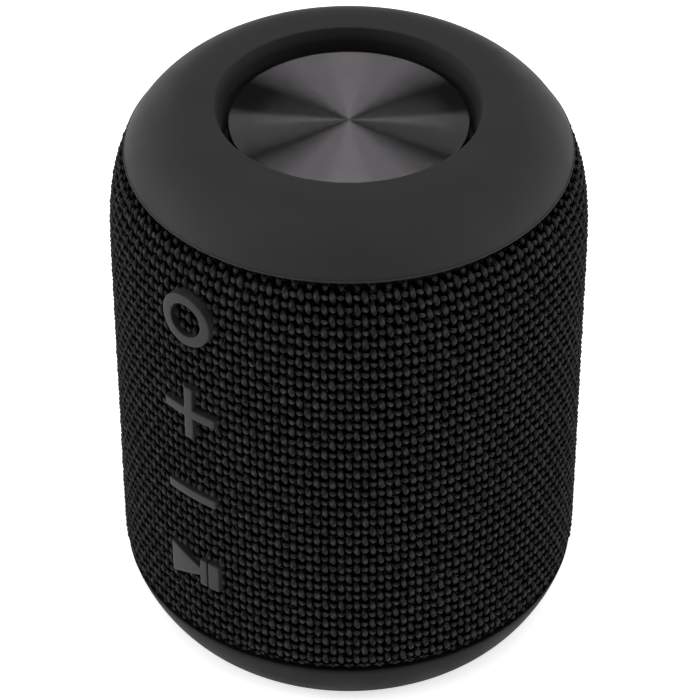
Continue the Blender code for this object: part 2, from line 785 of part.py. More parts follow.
def driver_piece(side, name, profile, look, closed=True):
    """A turned piece on the driver's axis. Its heights are distances out from the flat."""
    prefix = "left" if side < 0 else "right"
    obj = turned(f"{prefix}_driver_{name}", profile, look, steps=DRIVER_STEPS, closed=closed)
    obj.location = (side * ENCLOSURE_FLAT_X * MM, 0.0, DRIVER_Z * MM)
    obj.rotation_euler = (0.0, side * math.pi / 2.0, 0.0)
    return obj


def make_driver(side):
    basket = [
        (15.6, 1.5), (20.0, 1.5), (20.0, 0.3), (16.9, 0.3), (12.2, -9.8),
        (12.2, -11.0), (6.2, -11.0), (6.2, -10.0), (11.2, -10.0), (15.6, -0.4),
    ]
    driver_piece(side, "basket", basket, INNER_PLASTIC)
    top_plate = [(5.95, -11.3), (10.8, -11.3), (10.8, -12.9), (5.95, -12.9)]
    driver_piece(side, "top_plate", top_plate, STEEL)
    magnet = [(6.4, -13.2), (10.8, -13.2), (10.8, -17.2), (6.4, -17.2)]
    driver_piece(side, "magnet", magnet, FERRITE)
    yoke = [(0.0, -11.3), (4.9, -11.3), (4.9, -17.5), (10.8, -17.5), (10.8, -19.5), (0.0, -19.5)]
    driver_piece(side, "yoke", yoke, STEEL, closed=False)
    coil = [(5.2, -5.5), (5.65, -5.5), (5.65, -14.5), (5.2, -14.5)]
    driver_piece(side, "voice_coil", coil, COPPER)
    cone = [
        (0.0, -1.6), (2.6, -2.0), (4.6, -3.2), (5.6, -4.3), (13.0, 1.5), (13.9, 1.5),
        (13.9, 0.9), (13.3, 0.8), (6.0, -5.2), (4.8, -5.2), (4.0, -3.8), (2.4, -2.7), (0.0, -2.3),
    ]
    driver_piece(side, "cone", cone, PAPER, closed=False)
    surround = roll_profile(19.3, 15.6, 2.1, 1.4, 0.5, 13.2, 1)
    driver_piece(side, "surround", surround, RUBBER)
    spider = [
        (5.95, -8.2), (7.6, -7.8), (9.4, -8.6), (11.3, -8.2),
        (11.3, -8.7), (9.4, -9.1), (7.6, -8.3), (5.95, -8.7),
    ]
    driver_piece(side, "spider", spider, SPIDER_CLOTH)
    prefix = "left" if side < 0 else "right"
    x, y = DRIVER_LEAD_AT
    route = [
        (side * (x + 2.0), y - 1.5, 46.0),
        (side * (x + 1.4), y - 0.8, 42.0),
        (side * (x + 0.3), y, 37.5),
        (side * x, y, 33.0),
        (side * x, y, 29.0),
        (side * (x - 0.6), y - 0.3, BOARD_LOW_Z + BOARD_THICKNESS + GAP),
    ]
    tube(f"{prefix}_driver_lead", route, 0.8, LEAD)


# ---------------------------------------------------------------- electronics


def make_boards():
    board_top = BOARD_LOW_Z + BOARD_THICKNESS
    board = rod("main_board", BOARD_RADIUS, BOARD_LOW_Z, board_top, look=CIRCUIT, steps=32)
    for i, at in enumerate(corners(POST_AT, POST_AT)):
        cut(board, rod(f"board_hole_{i + 1}", POST_RADIUS + GAP, 20.0, 30.0, at=at, steps=SCREW_STEPS))
    seat = board_top + GAP
    block("bluetooth_module", (-16.0, -12.0, seat), (-4.0, 3.0, seat + 2.2), TINNED, 0.3)
    block("amplifier_chip", (6.0, -8.0, seat), (15.0, 1.0, seat + 1.4), CHIP)
    outer_y = BUTTON_BOARD_INNER_Y - BUTTON_BOARD_THICKNESS
    block("button_board", (-6.5, outer_y, 26.0), (6.5, BUTTON_BOARD_INNER_Y, 97.0), CIRCUIT)
    switch_outer = outer_y - GAP
    switch_inner = switch_outer - SWITCH_HEIGHT
    half = SWITCH_HALF_WIDTH
    for name, height in (
        ("power_switch", POWER_Z),
        ("volume_up_switch", PLUS_Z),
        ("volume_down_switch", MINUS_Z),
        ("play_pause_switch", PLAY_Z),
    ):
        block(name, (-half, switch_inner, height - half), (half, switch_outer, height + half), TINNED)
    block("status_led", (-0.8, switch_inner, 79.6), (0.8, switch_outer, 80.6), LAMP)
    block("microphone", (-1.9, switch_inner, 39.0), (1.9, switch_outer, 42.0), TINNED)


def make_sockets():
    seat = BOARD_LOW_Z + BOARD_THICKNESS + GAP
    x, _ = USB_CENTRE
    socket = block("usb_charging_socket", (x - 4.5, 30.4, seat), (x + 4.5, 37.9, seat + 3.2), TINNED)
    mouth = block("usb_mouth", (x - 4.1, 32.4, seat + 0.4), (x + 4.1, 39.0, seat + 2.8))
    tongue = block("usb_tongue", (x - 3.3, 31.5, seat + 1.25), (x + 3.3, 37.0, seat + 1.95))
    cut(socket, mouth)
    join(socket, tongue)
    x, height = JACK_CENTRE
    jack = block("aux_jack", (x - 3.0, 26.0, seat), (x + 3.0, 37.9, seat + 5.0), CHIP)
    cut(jack, rod("jack_bore", 1.75, 27.5, 39.0, axis="Y", at=(x, height), steps=16))


def make_battery():
    end = CELL_LENGTH / 2.0
    cell = rod("battery_cell", CELL_RADIUS, -end, end, axis="X", at=(0.0, CELL_Z), look=CELL_WRAP)
    smooth(cell)
    low = BASE_FLOOR_Z + GAP
    cradle = block("battery_cradle", (-33.0, -10.0, low), (33.0, 10.0, 10.5), INNER_PLASTIC)
    cut(cradle, rod("cradle_hollow", CELL_RADIUS + GAP, -40.0, 40.0, axis="X", at=(0.0, CELL_Z)))
    route = [
        (33.6, 0.0, 12.0),
        (34.1, 0.0, 15.0),
        (34.2, 0.0, 18.0),
        (33.9, 0.0, 21.0),
        (33.6, 0.0, BOARD_LOW_Z - GAP),
    ]
    tube("battery_lead", route, 0.7, LEAD)


def make_ribbon():
    """A flat flexible cable: along the main board, then up the inner face of the button board."""
    seat = BOARD_LOW_Z + BOARD_THICKNESS + GAP
    lying = block("button_ribbon", (-4.0, -38.0, seat), (4.0, -30.0, seat + 0.3), RIBBON)
    rising = block("ribbon_riser", (-4.0, -38.0, seat), (4.0, -37.7, 32.0))
    join(lying, rising)


def main():
    half_width = PANEL_HALF_WIDTH + GAP
    panel_outline = rounded_rectangle(half_width, PANEL_HALF_HEIGHT + GAP, PANEL_CORNER + GAP)
    openings = symbol_cutters()
    openings.append(plate("port_opening", panel_outline, 35.0, 50.0, PORT_Z))
    make_top_cap()
    make_cloth_sleeve(openings)
    make_grille_shell(openings)
    make_base_cap()
    make_foot_pad()
    make_buttons()
    make_port_panel()
    make_port_flap()
    make_radiator()
    make_enclosure()
    make_screws()
    for side in (-1, 1):
        make_driver(side)
    make_boards()
    make_ribbon()
    make_sockets()
    make_battery()


main()
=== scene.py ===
import json
import math

import bmesh
import bpy
import numpy as np
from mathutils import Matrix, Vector
from mathutils.geometry import delaunay_2d_cdt


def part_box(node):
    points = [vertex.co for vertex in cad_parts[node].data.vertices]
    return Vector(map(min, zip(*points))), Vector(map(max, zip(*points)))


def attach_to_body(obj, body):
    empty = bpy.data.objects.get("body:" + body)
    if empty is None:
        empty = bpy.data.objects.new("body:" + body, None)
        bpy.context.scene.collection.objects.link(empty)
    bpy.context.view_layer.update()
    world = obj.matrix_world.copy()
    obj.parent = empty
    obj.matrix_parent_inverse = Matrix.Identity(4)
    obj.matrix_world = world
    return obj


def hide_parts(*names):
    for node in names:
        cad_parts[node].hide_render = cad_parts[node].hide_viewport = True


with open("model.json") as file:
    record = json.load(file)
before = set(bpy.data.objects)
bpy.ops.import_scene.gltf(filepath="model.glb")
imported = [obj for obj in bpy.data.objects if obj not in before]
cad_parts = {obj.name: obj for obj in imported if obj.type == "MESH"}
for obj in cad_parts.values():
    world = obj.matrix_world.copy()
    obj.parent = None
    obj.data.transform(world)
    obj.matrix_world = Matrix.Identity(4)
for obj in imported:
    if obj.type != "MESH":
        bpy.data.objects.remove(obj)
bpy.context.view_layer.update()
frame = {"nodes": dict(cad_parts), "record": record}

# Lengths are in millimetres here and become metres when a mesh is made.
MM = 0.001
SEED = 7

# ---- sizes, from the frame


def span(node):
    """A CAD node's box in millimetres: (low, high)."""
    low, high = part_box(node)
    return low / MM, high / MM


def middle_z(node):
    low, high = span(node)
    return (low.z + high.z) / 2.0


CAP_LOW, CAP_HIGH = span("top_cap")
BASE_LOW, BASE_HIGH = span("base_cap")
CLOTH_LOW, CLOTH_HIGH = span("cloth_sleeve")
FOOT_HIGH = span("foot_pad")[1]
DISC_LOW, DISC_HIGH = span("radiator_disc")
PANEL_LOW, PANEL_HIGH = span("port_panel")
FLAP_LOW, FLAP_HIGH = span("port_flap")
POWER_LOW = span("power_button")[0]
PLUS_LOW, PLUS_HIGH = span("volume_up_button")
INLAY_HIGH = span("power_button_cloth_inlay")[1]

BODY_RADIUS = CLOTH_HIGH.x
BODY_HEIGHT = CAP_HIGH.z
DOME_START_Z = 80.0
DOME_TOP_RADIUS = 30.3
DOME_POWER_Z = 3.55
DOME_POWER_R = 1.52
FOOT_CURVE_Z = 14.8
FOOT_CURVE_RADIUS = 36.5
FOOT_CURVE_POWER = 1.43

CAP_SEAM_Z = 104.8
RIM_RADIUS = 24.8
WELL_RADIUS = 23.6
WELL_WALL = 2.9
WELL_STRAIGHT_Z = 110.2
CAP_SKIRT_RADIUS = 38.9
BASE_SEAM_Z = 12.8
BASE_LIP_OUTER = 42.0
FINE_STEPS = 256
TURNED_SHARP = 40.0
RAISED_SHARP = 50.0

SYMBOL_TOP_RADIUS = -POWER_LOW.y


def outer_radius(z):
    """Radius of the outside form at a height."""
    if z > DOME_START_Z:
        share = (z - DOME_START_Z) / (BODY_HEIGHT - DOME_START_Z)
        sine = min(1.0, share ** (DOME_POWER_Z / 2.0))
        swing = math.sqrt(1.0 - sine * sine) ** (2.0 / DOME_POWER_R)
        return DOME_TOP_RADIUS + (BODY_RADIUS - DOME_TOP_RADIUS) * swing
    if z < FOOT_CURVE_Z:
        share = (FOOT_CURVE_Z - z) / FOOT_CURVE_Z
        sine = min(1.0, share ** (FOOT_CURVE_POWER / 2.0))
        swing = math.sqrt(1.0 - sine * sine) ** (2.0 / FOOT_CURVE_POWER)
        return FOOT_CURVE_RADIUS + (BODY_RADIUS - FOOT_CURVE_RADIUS) * swing
    return BODY_RADIUS


def dome_point(angle, inset=0.0):
    """A point of the dome at its curve angle (90 degrees is the flat top), moved in by inset."""
    ends = []
    for a in (angle, angle - 0.002):
        swing = max(0.0, math.cos(a)) ** (2.0 / DOME_POWER_R)
        rise = math.sin(a) ** (2.0 / DOME_POWER_Z)
        r = DOME_TOP_RADIUS + (BODY_RADIUS - DOME_TOP_RADIUS) * swing
        z = DOME_START_Z + (BODY_HEIGHT - DOME_START_Z) * rise
        ends.append((r, z))
    (r, z), (r_next, z_next) = ends
    length = math.hypot(r_next - r, z_next - z)
    return r + (z_next - z) / length * inset, z - (r_next - r) / length * inset


# ---- materials


class Look:
    """A Principled material and the nodes that feed it."""

    def __init__(self, name, roughness=0.5, metallic=0.0, **sockets):
        self.material = bpy.data.materials.new(name)
        self.material.use_nodes = True
        self.nodes = self.material.node_tree.nodes
        self.links = self.material.node_tree.links
        self.shader = self.nodes["Principled BSDF"]
        self.set("Roughness", roughness)
        self.set("Metallic", metallic)
        for socket, value in sockets.items():
            self.set(socket.replace("_", " "), value)
        self.place = self.nodes.new("ShaderNodeTexCoord").outputs["Object"]

    def set(self, socket, value):
        self.shader.inputs[socket].default_value = value

    def feed(self, socket, value):
        """Links another node's output to a socket, or sets a plain value."""
        if isinstance(value, bpy.types.NodeSocket):
            self.links.new(value, socket)
        else:
            socket.default_value = value

    def node(self, kind, inputs=None, **settings):
        made = self.nodes.new(kind)
        for name, value in settings.items():
            setattr(made, name, value)
        for name, value in (inputs or {}).items():
            self.feed(made.inputs[name], value)
        return made

    def noise(self, scale, detail=3.0, roughness=0.55, place=None):
        """Noise in millimetres: scale is the size of a lump."""
        inputs = {"Scale": 1.0 / (scale * MM), "Detail": detail, "Roughness": roughness}
        inputs["Vector"] = place or self.place
        return self.node("ShaderNodeTexNoise", inputs).outputs["Fac"]

    def specks(self, spacing, size):
        """Small round specks: 1 inside one, 0 elsewhere."""
        cells = self.node(
            "ShaderNodeTexVoronoi", {"Scale": 1.0 / (spacing * MM), "Vector": self.place}
        )
        return self.spread(cells.outputs["Distance"], size / spacing, 0.4 * size / spacing)

    def spread(self, value, low, high, to_low=0.0, to_high=1.0):
        """value from low..high to to_low..to_high, clamped."""
        inputs = {"From Min": low, "From Max": high, "To Min": to_low, "To Max": to_high}
        inputs["Value"] = value
        return self.node("ShaderNodeMapRange", inputs).outputs["Result"]

    def vary(self, noise, to_low, to_high):
        """Most of a noise's range, 0.3 to 0.7, spread over to_low..to_high."""
        return self.spread(noise, 0.3, 0.7, to_low, to_high)

    def maths(self, operation, a, b=0.0):
        made = self.node("ShaderNodeMath", operation=operation)
        for i, value in enumerate((a, b)):
            self.feed(made.inputs[i], value)
        return made.outputs[0]

    def vector(self, operation, a, b=None):
        """A vector operation; a length comes back as a value, and SCALE takes b as its factor."""
        made = self.node("ShaderNodeVectorMath", operation=operation)
        self.links.new(a, made.inputs[0])
        slot = made.inputs["Scale"] if operation == "SCALE" else made.inputs[1]
        if b is not None:
            self.feed(slot, b)
        return made.outputs["Value" if operation == "LENGTH" else "Vector"]

    def mix(self, share, first, second):
        """A colour between first and second."""
        made = self.node("ShaderNodeMix", data_type="RGBA")
        for i, value in ((0, share), (6, first), (7, second)):
            self.feed(made.inputs[i], (*value, 1.0) if isinstance(value, tuple) else value)
        return made.outputs[2]

    def rgb(self, colour):
        made = self.node("ShaderNodeRGB")
        made.outputs[0].default_value = (*colour, 1.0)
        return made.outputs[0]

    def colour(self, value):
        self.links.new(value, self.shader.inputs["Base Color"])

    def rough(self, value):
        self.links.new(value, self.shader.inputs["Roughness"])

    def bump(self, height, depth, strength=1.0):
        """Relief of depth millimetres for a height from 0 to 1."""
        inputs = {"Height": height, "Distance": depth * MM, "Strength": strength}
        made = self.node("ShaderNodeBump", inputs)
        self.links.new(made.outputs["Normal"], self.shader.inputs["Normal"])


def grey(value, warm=0.0):
    """A linear grey. warm above 0 turns it to brown, below 0 to blue."""
    return (value * (1.0 + warm), value, value * (1.0 - warm))


def scaled(colour, by):
    return tuple(min(1.0, c * by) for c in colour)


# Painted shade in the cap's well: the paint's colour falls to this share, reached this far outside the
# well's wall.
WELL_SHADE = 0.25
WELL_SHADE_MARGIN = 0.5


def soft_touch_look(name, colour, roughness, dust=0.06, gloss=0.2, sheen=0.1, well=False):
    """Matt rubber paint over plastic, with faint clouds of wear and a few dust specks.

    With well, painted shade darkens the paint from the cap's rim inwards to the wall of the well.
    """
    look = Look(name, roughness, Specular_IOR_Level=gloss, Sheen_Weight=sheen, Sheen_Roughness=0.5)
    clouds = look.noise(11.0, 4.0)
    body = look.mix(clouds, scaled(colour, 0.9), scaled(colour, 1.12))
    marks = look.maths("MULTIPLY", look.specks(4.2, 0.16), look.spread(look.noise(9.0), 0.55, 0.7))
    body = look.mix(marks, body, grey(dust, 0.1))
    # Painted shade: the colour darkens down into the cap's well, where shade falls.
    if well:
        away = look.vector("LENGTH", look.vector("MULTIPLY", look.place, (1.0, 1.0, 0.0)))
        start = (WELL_RADIUS + WELL_SHADE_MARGIN) * MM
        inside = look.spread(away, start, RIM_RADIUS * MM, WELL_SHADE, 1.0)
        body = look.vector("SCALE", body, inside)
    look.colour(body)
    look.rough(look.vary(look.noise(6.0, 5.0), roughness - 0.05, roughness + 0.06))
    look.bump(look.noise(0.35, 2.0), 0.006)
    return look.material


def plastic_look(name, colour, roughness, grain=0.5, depth=0.02):
    """Moulded plastic or rubber with an even spark-eroded grain."""
    look = Look(name, roughness)
    look.colour(look.mix(look.noise(8.0, 4.0), scaled(colour, 0.88), scaled(colour, 1.14)))
    look.rough(look.vary(look.noise(3.0, 4.0), roughness - 0.07, roughness + 0.07))
    look.bump(look.noise(grain, 3.0), depth)
    return look.material


def metal_look(name, colour, roughness, brushed=0.25, depth=0.01, metallic=1.0):
    """Metal with fine scratches and cloudy tarnish."""
    look = Look(name, roughness, metallic)
    look.colour(look.mix(look.noise(5.0, 5.0), scaled(colour, 0.8), scaled(colour, 1.1)))
    look.rough(look.vary(look.noise(2.0, 6.0), roughness - 0.08, roughness + 0.1))
    look.bump(look.noise(brushed, 4.0, 0.7), depth)
    return look.material


def fibre_look(name, colour, roughness, pitch, depth, sheen=0.3, gloss=0.5):
    """A woven or felted inner part: crossed waves broken up by noise."""
    look = Look(name, roughness, Sheen_Weight=sheen, Sheen_Roughness=0.6, Specular_IOR_Level=gloss)
    inputs = {"Vector": look.place, "Scale": 0.31 / (pitch * MM), "Distortion": 1.5, "Detail": 2.0}
    first = look.node("ShaderNodeTexWave", inputs, bands_direction="X").outputs["Fac"]
    second = look.node("ShaderNodeTexWave", inputs, bands_direction="Y").outputs["Fac"]
    weave = look.maths("MULTIPLY", first, second)
    look.colour(look.mix(weave, scaled(colour, 0.7), scaled(colour, 1.2)))
    look.rough(look.vary(look.noise(1.5), roughness - 0.05, roughness + 0.05))
    look.bump(weave, depth)
    return look.material


def circuit_look(name):
    """Green solder resist with copper tracks showing as a faint grid."""
    look = Look(name, 0.35, Coat_Weight=0.3)
    inputs = {"Vector": look.place, "Scale": 420.0}
    bricks = look.node("ShaderNodeTexBrick", inputs, offset=0.5)
    tracks = look.spread(bricks.outputs["Fac"], 0.2, 0.8)
    look.colour(look.mix(tracks, (0.004, 0.035, 0.014), (0.012, 0.075, 0.03)))
    look.rough(look.vary(look.noise(2.0), 0.28, 0.45))
    look.bump(tracks, 0.03)
    return look.material


GROOVE_PITCH = 0.11
GROOVE_STEEPNESS = 0.9
DISC_COLOUR = (0.176, 0.168, 0.176)


def disc_look(name):
    """Dark aluminium turned in fine round-bottomed grooves, which fan its highlights out."""
    look = Look(name, 0.2, 1.0)
    flat = look.vector("MULTIPLY", look.place, (1.0, 1.0, 0.0))
    outward = look.vector("NORMALIZE", flat)
    away = look.vector("LENGTH", flat)
    across = look.maths("FRACT", look.maths("MULTIPLY", away, 1.0 / (GROOVE_PITCH * MM)))
    slope = look.spread(across, 0.0, 1.0, -GROOVE_STEEPNESS, GROOVE_STEEPNESS)
    surface = look.node("ShaderNodeNewGeometry").outputs["Normal"]
    upward = look.node("ShaderNodeSeparateXYZ", {"Vector": surface}).outputs["Z"]
    tilt = look.vector("SCALE", outward, look.maths("MULTIPLY", slope, upward))
    normal = look.vector("NORMALIZE", look.vector("ADD", surface, tilt))
    look.links.new(normal, look.shader.inputs["Normal"])
    marks = look.maths("MULTIPLY", look.specks(5.0, 0.13), look.spread(look.noise(8.0), 0.52, 0.66))
    tone = look.mix(look.noise(6.0, 4.0), scaled(DISC_COLOUR, 0.95), scaled(DISC_COLOUR, 1.05))
    look.colour(look.mix(marks, tone, grey(0.45)))
    look.rough(look.vary(look.noise(7.0, 4.0), 0.09, 0.12))
    return look.material


# Painted light: the weft yarns' colour is raised by this factor, for the light they catch where they
# face up.
WEFT_PAINTED_LIGHT = 1.2


def yarn_look(name, colour):
    """Spun yarn: fine fibres along it, wound around it as two plies, with painted shade darkening it
    where it lies deep.
    """
    look = Look(name, 0.8, Sheen_Weight=0.05, Sheen_Roughness=0.35)
    look.set("Specular IOR Level", 0.0)
    look.set("IOR", 1.05)
    route = look.node("ShaderNodeUVMap", uv_map="yarn").outputs["UV"]
    stretch = look.node("ShaderNodeMapping", {"Vector": route, "Scale": (1.1, 4.5, 1.0)})
    fibres = look.noise(1.0 / MM, 4.0, 0.75, stretch.outputs["Vector"])
    inputs = {"Vector": route, "Scale": 0.31, "Distortion": 2.0, "Detail": 2.0, "Detail Scale": 3.0}
    plies = look.node("ShaderNodeTexWave", inputs, bands_direction="DIAGONAL").outputs["Fac"]
    hairs = look.maths("MULTIPLY", fibres, 0.7)
    relief = look.maths("ADD", hairs, look.maths("MULTIPLY", plies, 0.5))
    patches = look.vary(look.noise(3.5, 3.0), 0.8, 1.2)
    tone = look.maths("MULTIPLY", look.vary(fibres, 0.35, 1.65), patches)
    tone = look.maths("MULTIPLY", tone, look.spread(plies, 0.0, 1.0, 0.6, 1.3))
    # Painted shade: the depth layer darkens the colour towards black where the yarn lies deep in the
    # weave.
    place = look.node("ShaderNodeUVMap", uv_map="depth").outputs["UV"]
    part = look.node("ShaderNodeSeparateXYZ", {"Vector": place})
    lit = look.maths("MULTIPLY", tone, part.outputs["X"])
    # Painted light: the weft yarns are made lighter.
    lit = look.maths("MULTIPLY", lit, look.spread(part.outputs["Y"], 0.0, 1.0, 1.0, WEFT_PAINTED_LIGHT))
    look.colour(look.vector("SCALE", look.rgb(colour), lit))
    look.rough(look.vary(fibres, 0.74, 0.92))
    look.bump(relief, 0.09)
    return look.material


CAP_COLOUR = (0.0300, 0.0285, 0.0295)
BASE_COLOUR = grey(0.006, -0.03)
SYMBOL_COLOUR = grey(0.0125, -0.02)

LOOKS = {
    "soft_touch_plastic": soft_touch_look(
        "soft_touch_cap", CAP_COLOUR, 0.6, gloss=0.1, sheen=0.05, well=True
    ),
    "cloth": yarn_look("yarn", grey(0.034)),
    "silicone": soft_touch_look("silicone", SYMBOL_COLOUR, 0.5, 0.12, sheen=0.05),
}
for kind, name, *settings in (
    (plastic_look, "foot_rubber", grey(0.02), 0.75, 0.6, 0.03),
    (plastic_look, "inner_plastic", grey(0.02), 0.55),
    (disc_look, "spun_aluminium"),
    (metal_look, "steel", grey(0.5), 0.32),
    (plastic_look, "ferrite", grey(0.03), 0.6, 0.3, 0.04),
    (metal_look, "copper", (0.8, 0.36, 0.2), 0.3, 0.1, 0.02),
    (fibre_look, "cone_paper", grey(0.03), 0.8, 0.5, 0.04),
    (fibre_look, "spider_cloth", (0.45, 0.28, 0.08), 0.8, 0.4, 0.06),
    (plastic_look, "foam", grey(0.03), 0.9, 0.25, 0.15),
    (circuit_look, "circuit_board"),
    (metal_look, "tinned_metal", grey(0.55), 0.28, 0.6),
    (plastic_look, "chip_plastic", grey(0.015), 0.45, 0.2, 0.01),
    (plastic_look, "lamp_plastic", grey(0.75), 0.25, 1.0, 0.005),
    (plastic_look, "cell_wrap", (0.04, 0.13, 0.3), 0.3, 2.0, 0.02),
    (plastic_look, "lead_insulation", (0.35, 0.02, 0.02), 0.45, 0.4, 0.01),
    (plastic_look, "ribbon", (0.45, 0.2, 0.05), 0.35, 1.2, 0.01),
):
    LOOKS[name] = kind(name, *settings)
BASE_LOOK = soft_touch_look("soft_touch_base", BASE_COLOUR, 0.6, gloss=0.06, sheen=0.01)
# Painted shade: the cloth's ground is near black, darker than the yarns, so that the gaps between the
# yarns read as deep shade.
BACKING_LOOK = fibre_look("backing", grey(0.0008), 0.95, 0.4, 0.05, sheen=0.0, gloss=0.0)


def finish_cad_nodes():
    """Every CAD node takes the look of its material slot."""
    for material in frame["record"]["materials"]:
        for node in material.get("nodes", []):
            mesh = frame["nodes"][node].data
            mesh.materials.clear()
            mesh.materials.append(LOOKS[material["slot"]])


# ---- mesh tools


def new_piece(name, mesh, look):
    obj = bpy.data.objects.new(name, mesh)
    bpy.context.scene.collection.objects.link(obj)
    mesh.materials.append(look)
    return obj


def attach(piece, body, stands_for=None):
    """Hangs a piece on the body that it rides and hides the CAD node that it replaces."""
    if stands_for:
        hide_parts(stands_for)
    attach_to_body(piece, body)


def smooth_piece(name, made, look, sharp):
    """A piece from a bmesh: smooth, but sharp where faces meet at more than sharp degrees."""
    bmesh.ops.recalc_face_normals(made, faces=made.faces)
    mesh = bpy.data.meshes.new(name)
    made.to_mesh(mesh)
    made.free()
    mesh.shade_smooth()
    mesh.set_sharp_from_angle(angle=math.radians(sharp))
    return new_piece(name, mesh, look)


def quad_mesh(name, points, quads, **layers):
    """A mesh of quads from arrays: points in millimetres, four indices a face, UVs by name."""
    mesh = bpy.data.meshes.new(name)
    used, quads = np.unique(quads, return_inverse=True)
    quads = quads.reshape(-1, 4)
    mesh.vertices.add(len(used))
    mesh.vertices.foreach_set("co", (points[used] * MM).astype(np.float32).ravel())
    mesh.loops.add(quads.size)
    mesh.loops.foreach_set("vertex_index", quads.astype(np.int32).ravel())
    mesh.polygons.add(len(quads))
    mesh.polygons.foreach_set("loop_start", np.arange(0, quads.size, 4, dtype=np.int32))
    mesh.polygons.foreach_set("use_smooth", np.ones(len(quads), bool))
    for layer, uv in layers.items():
        mesh.uv_layers.new(name=layer).data.foreach_set("uv", uv.astype(np.float32).ravel())
    mesh.update(calc_edges=True)
    mesh.validate()
    return mesh


def turned(name, profile, look, steps=FINE_STEPS, closed=True, wobble=None):
    """A profile of (radius, height), top to bottom on its outer side, turned about Z."""
    profile = np.array(profile, float)
    angles = np.arange(steps) * 2.0 * math.pi / steps
    radii = np.repeat(profile[None, :, 0], steps, axis=0)
    heights = np.repeat(profile[None, :, 1], steps, axis=0)
    if wobble is not None:
        radii, heights = wobble(angles[:, None], radii, heights)
    turns = angles[:, None]
    points = np.stack([radii * np.cos(turns), radii * np.sin(turns), heights], -1)
    count = len(profile)
    made = bmesh.new()
    rings = [[None] * count for _ in range(steps)]
    for k in range(count):
        if profile[k, 0] < 1e-6:
            tip = made.verts.new(points[0, k] * MM)
            for i in range(steps):
                rings[i][k] = tip
        else:
            for i in range(steps):
                rings[i][k] = made.verts.new(points[i, k] * MM)
    last = count if closed else count - 1
    for i in range(steps):
        here = rings[i]
        there = rings[(i + 1) % steps]
        for k in range(last):
            following = (k + 1) % count
            corners = []
            for vertex in (here[k], here[following], there[following], there[k]):
                if vertex not in corners:
                    corners.append(vertex)
            if len(corners) > 2:
                made.faces.new(corners)
    return smooth_piece(name, made, look, TURNED_SHARP)


def arc(centre, radius, start, end, count):
    """Points of an arc in a profile, angles in degrees."""
    angles = np.radians(np.linspace(start, end, count))
    return [(centre[0] + radius * math.cos(a), centre[1] + radius * math.sin(a)) for a in angles]


# ---- caps, foot and radiator


RIM_FILLET = 0.3
RIM_SLOPE = -0.03
EASE_RADIUS = 34.0


def eased(start, start_slope, end, end_slope, count):
    """Points between two points of a profile on the smooth curve with these slopes at its ends."""
    width = end[0] - start[0]
    made = []
    for i in range(1, count):
        t = i / count
        height = (2 * t**3 - 3 * t**2 + 1) * start[1] + (3 * t**2 - 2 * t**3) * end[1]
        height += width * ((t**3 - 2 * t**2 + t) * start_slope + (t**3 - t**2) * end_slope)
        made.append((start[0] + width * t, height))
    return made


def make_top_cap():
    seam_share = (CAP_SEAM_Z - DOME_START_Z) / (BODY_HEIGHT - DOME_START_Z)
    seam = math.asin(seam_share ** (DOME_POWER_Z / 2.0))
    dome = [dome_point(math.pi / 2 - (math.pi / 2 - seam) * i / 60) for i in range(61)]
    dome = [point for point in dome if point[0] > EASE_RADIUS]
    edge_r, edge_z = dome[-1]
    slope = (dome[1][1] - dome[0][1]) / (dome[1][0] - dome[0][0])
    profile = arc((RIM_RADIUS + RIM_FILLET, BODY_HEIGHT - RIM_FILLET), RIM_FILLET, 180.0, 92.0, 5)
    profile += eased(profile[-1], RIM_SLOPE, dome[0], slope, 18)
    profile += dome[:-1]
    profile += arc((edge_r - 0.3, edge_z + 0.25), 0.3, 30.0, -90.0, 5)
    profile += [
        (CAP_SKIRT_RADIUS, edge_z - 0.05),
        (CAP_SKIRT_RADIUS, CAP_LOW.z),
        (CAP_SKIRT_RADIUS - 1.4, CAP_LOW.z),
        (CAP_SKIRT_RADIUS - 1.4, CAP_SEAM_Z),
    ]
    profile += [dome_point(math.radians(angle), 2.0) for angle in (44.0, 50.0, 58.0, 66.0, 76.0)]
    well_outer = WELL_RADIUS + WELL_WALL
    profile += [
        (well_outer, BODY_HEIGHT - 2.0),
        (well_outer, CAP_SEAM_Z),
        (WELL_RADIUS, CAP_SEAM_Z),
        (WELL_RADIUS, WELL_STRAIGHT_Z - 0.6),
        (WELL_RADIUS + 0.04, WELL_STRAIGHT_Z),
        (WELL_RADIUS + 0.28, WELL_STRAIGHT_Z + 1.0),
        (RIM_RADIUS - 0.25, BODY_HEIGHT - 1.6),
    ]
    cap = turned("cap_shell", profile, LOOKS["soft_touch_plastic"])
    attach(cap, "speaker", "top_cap")


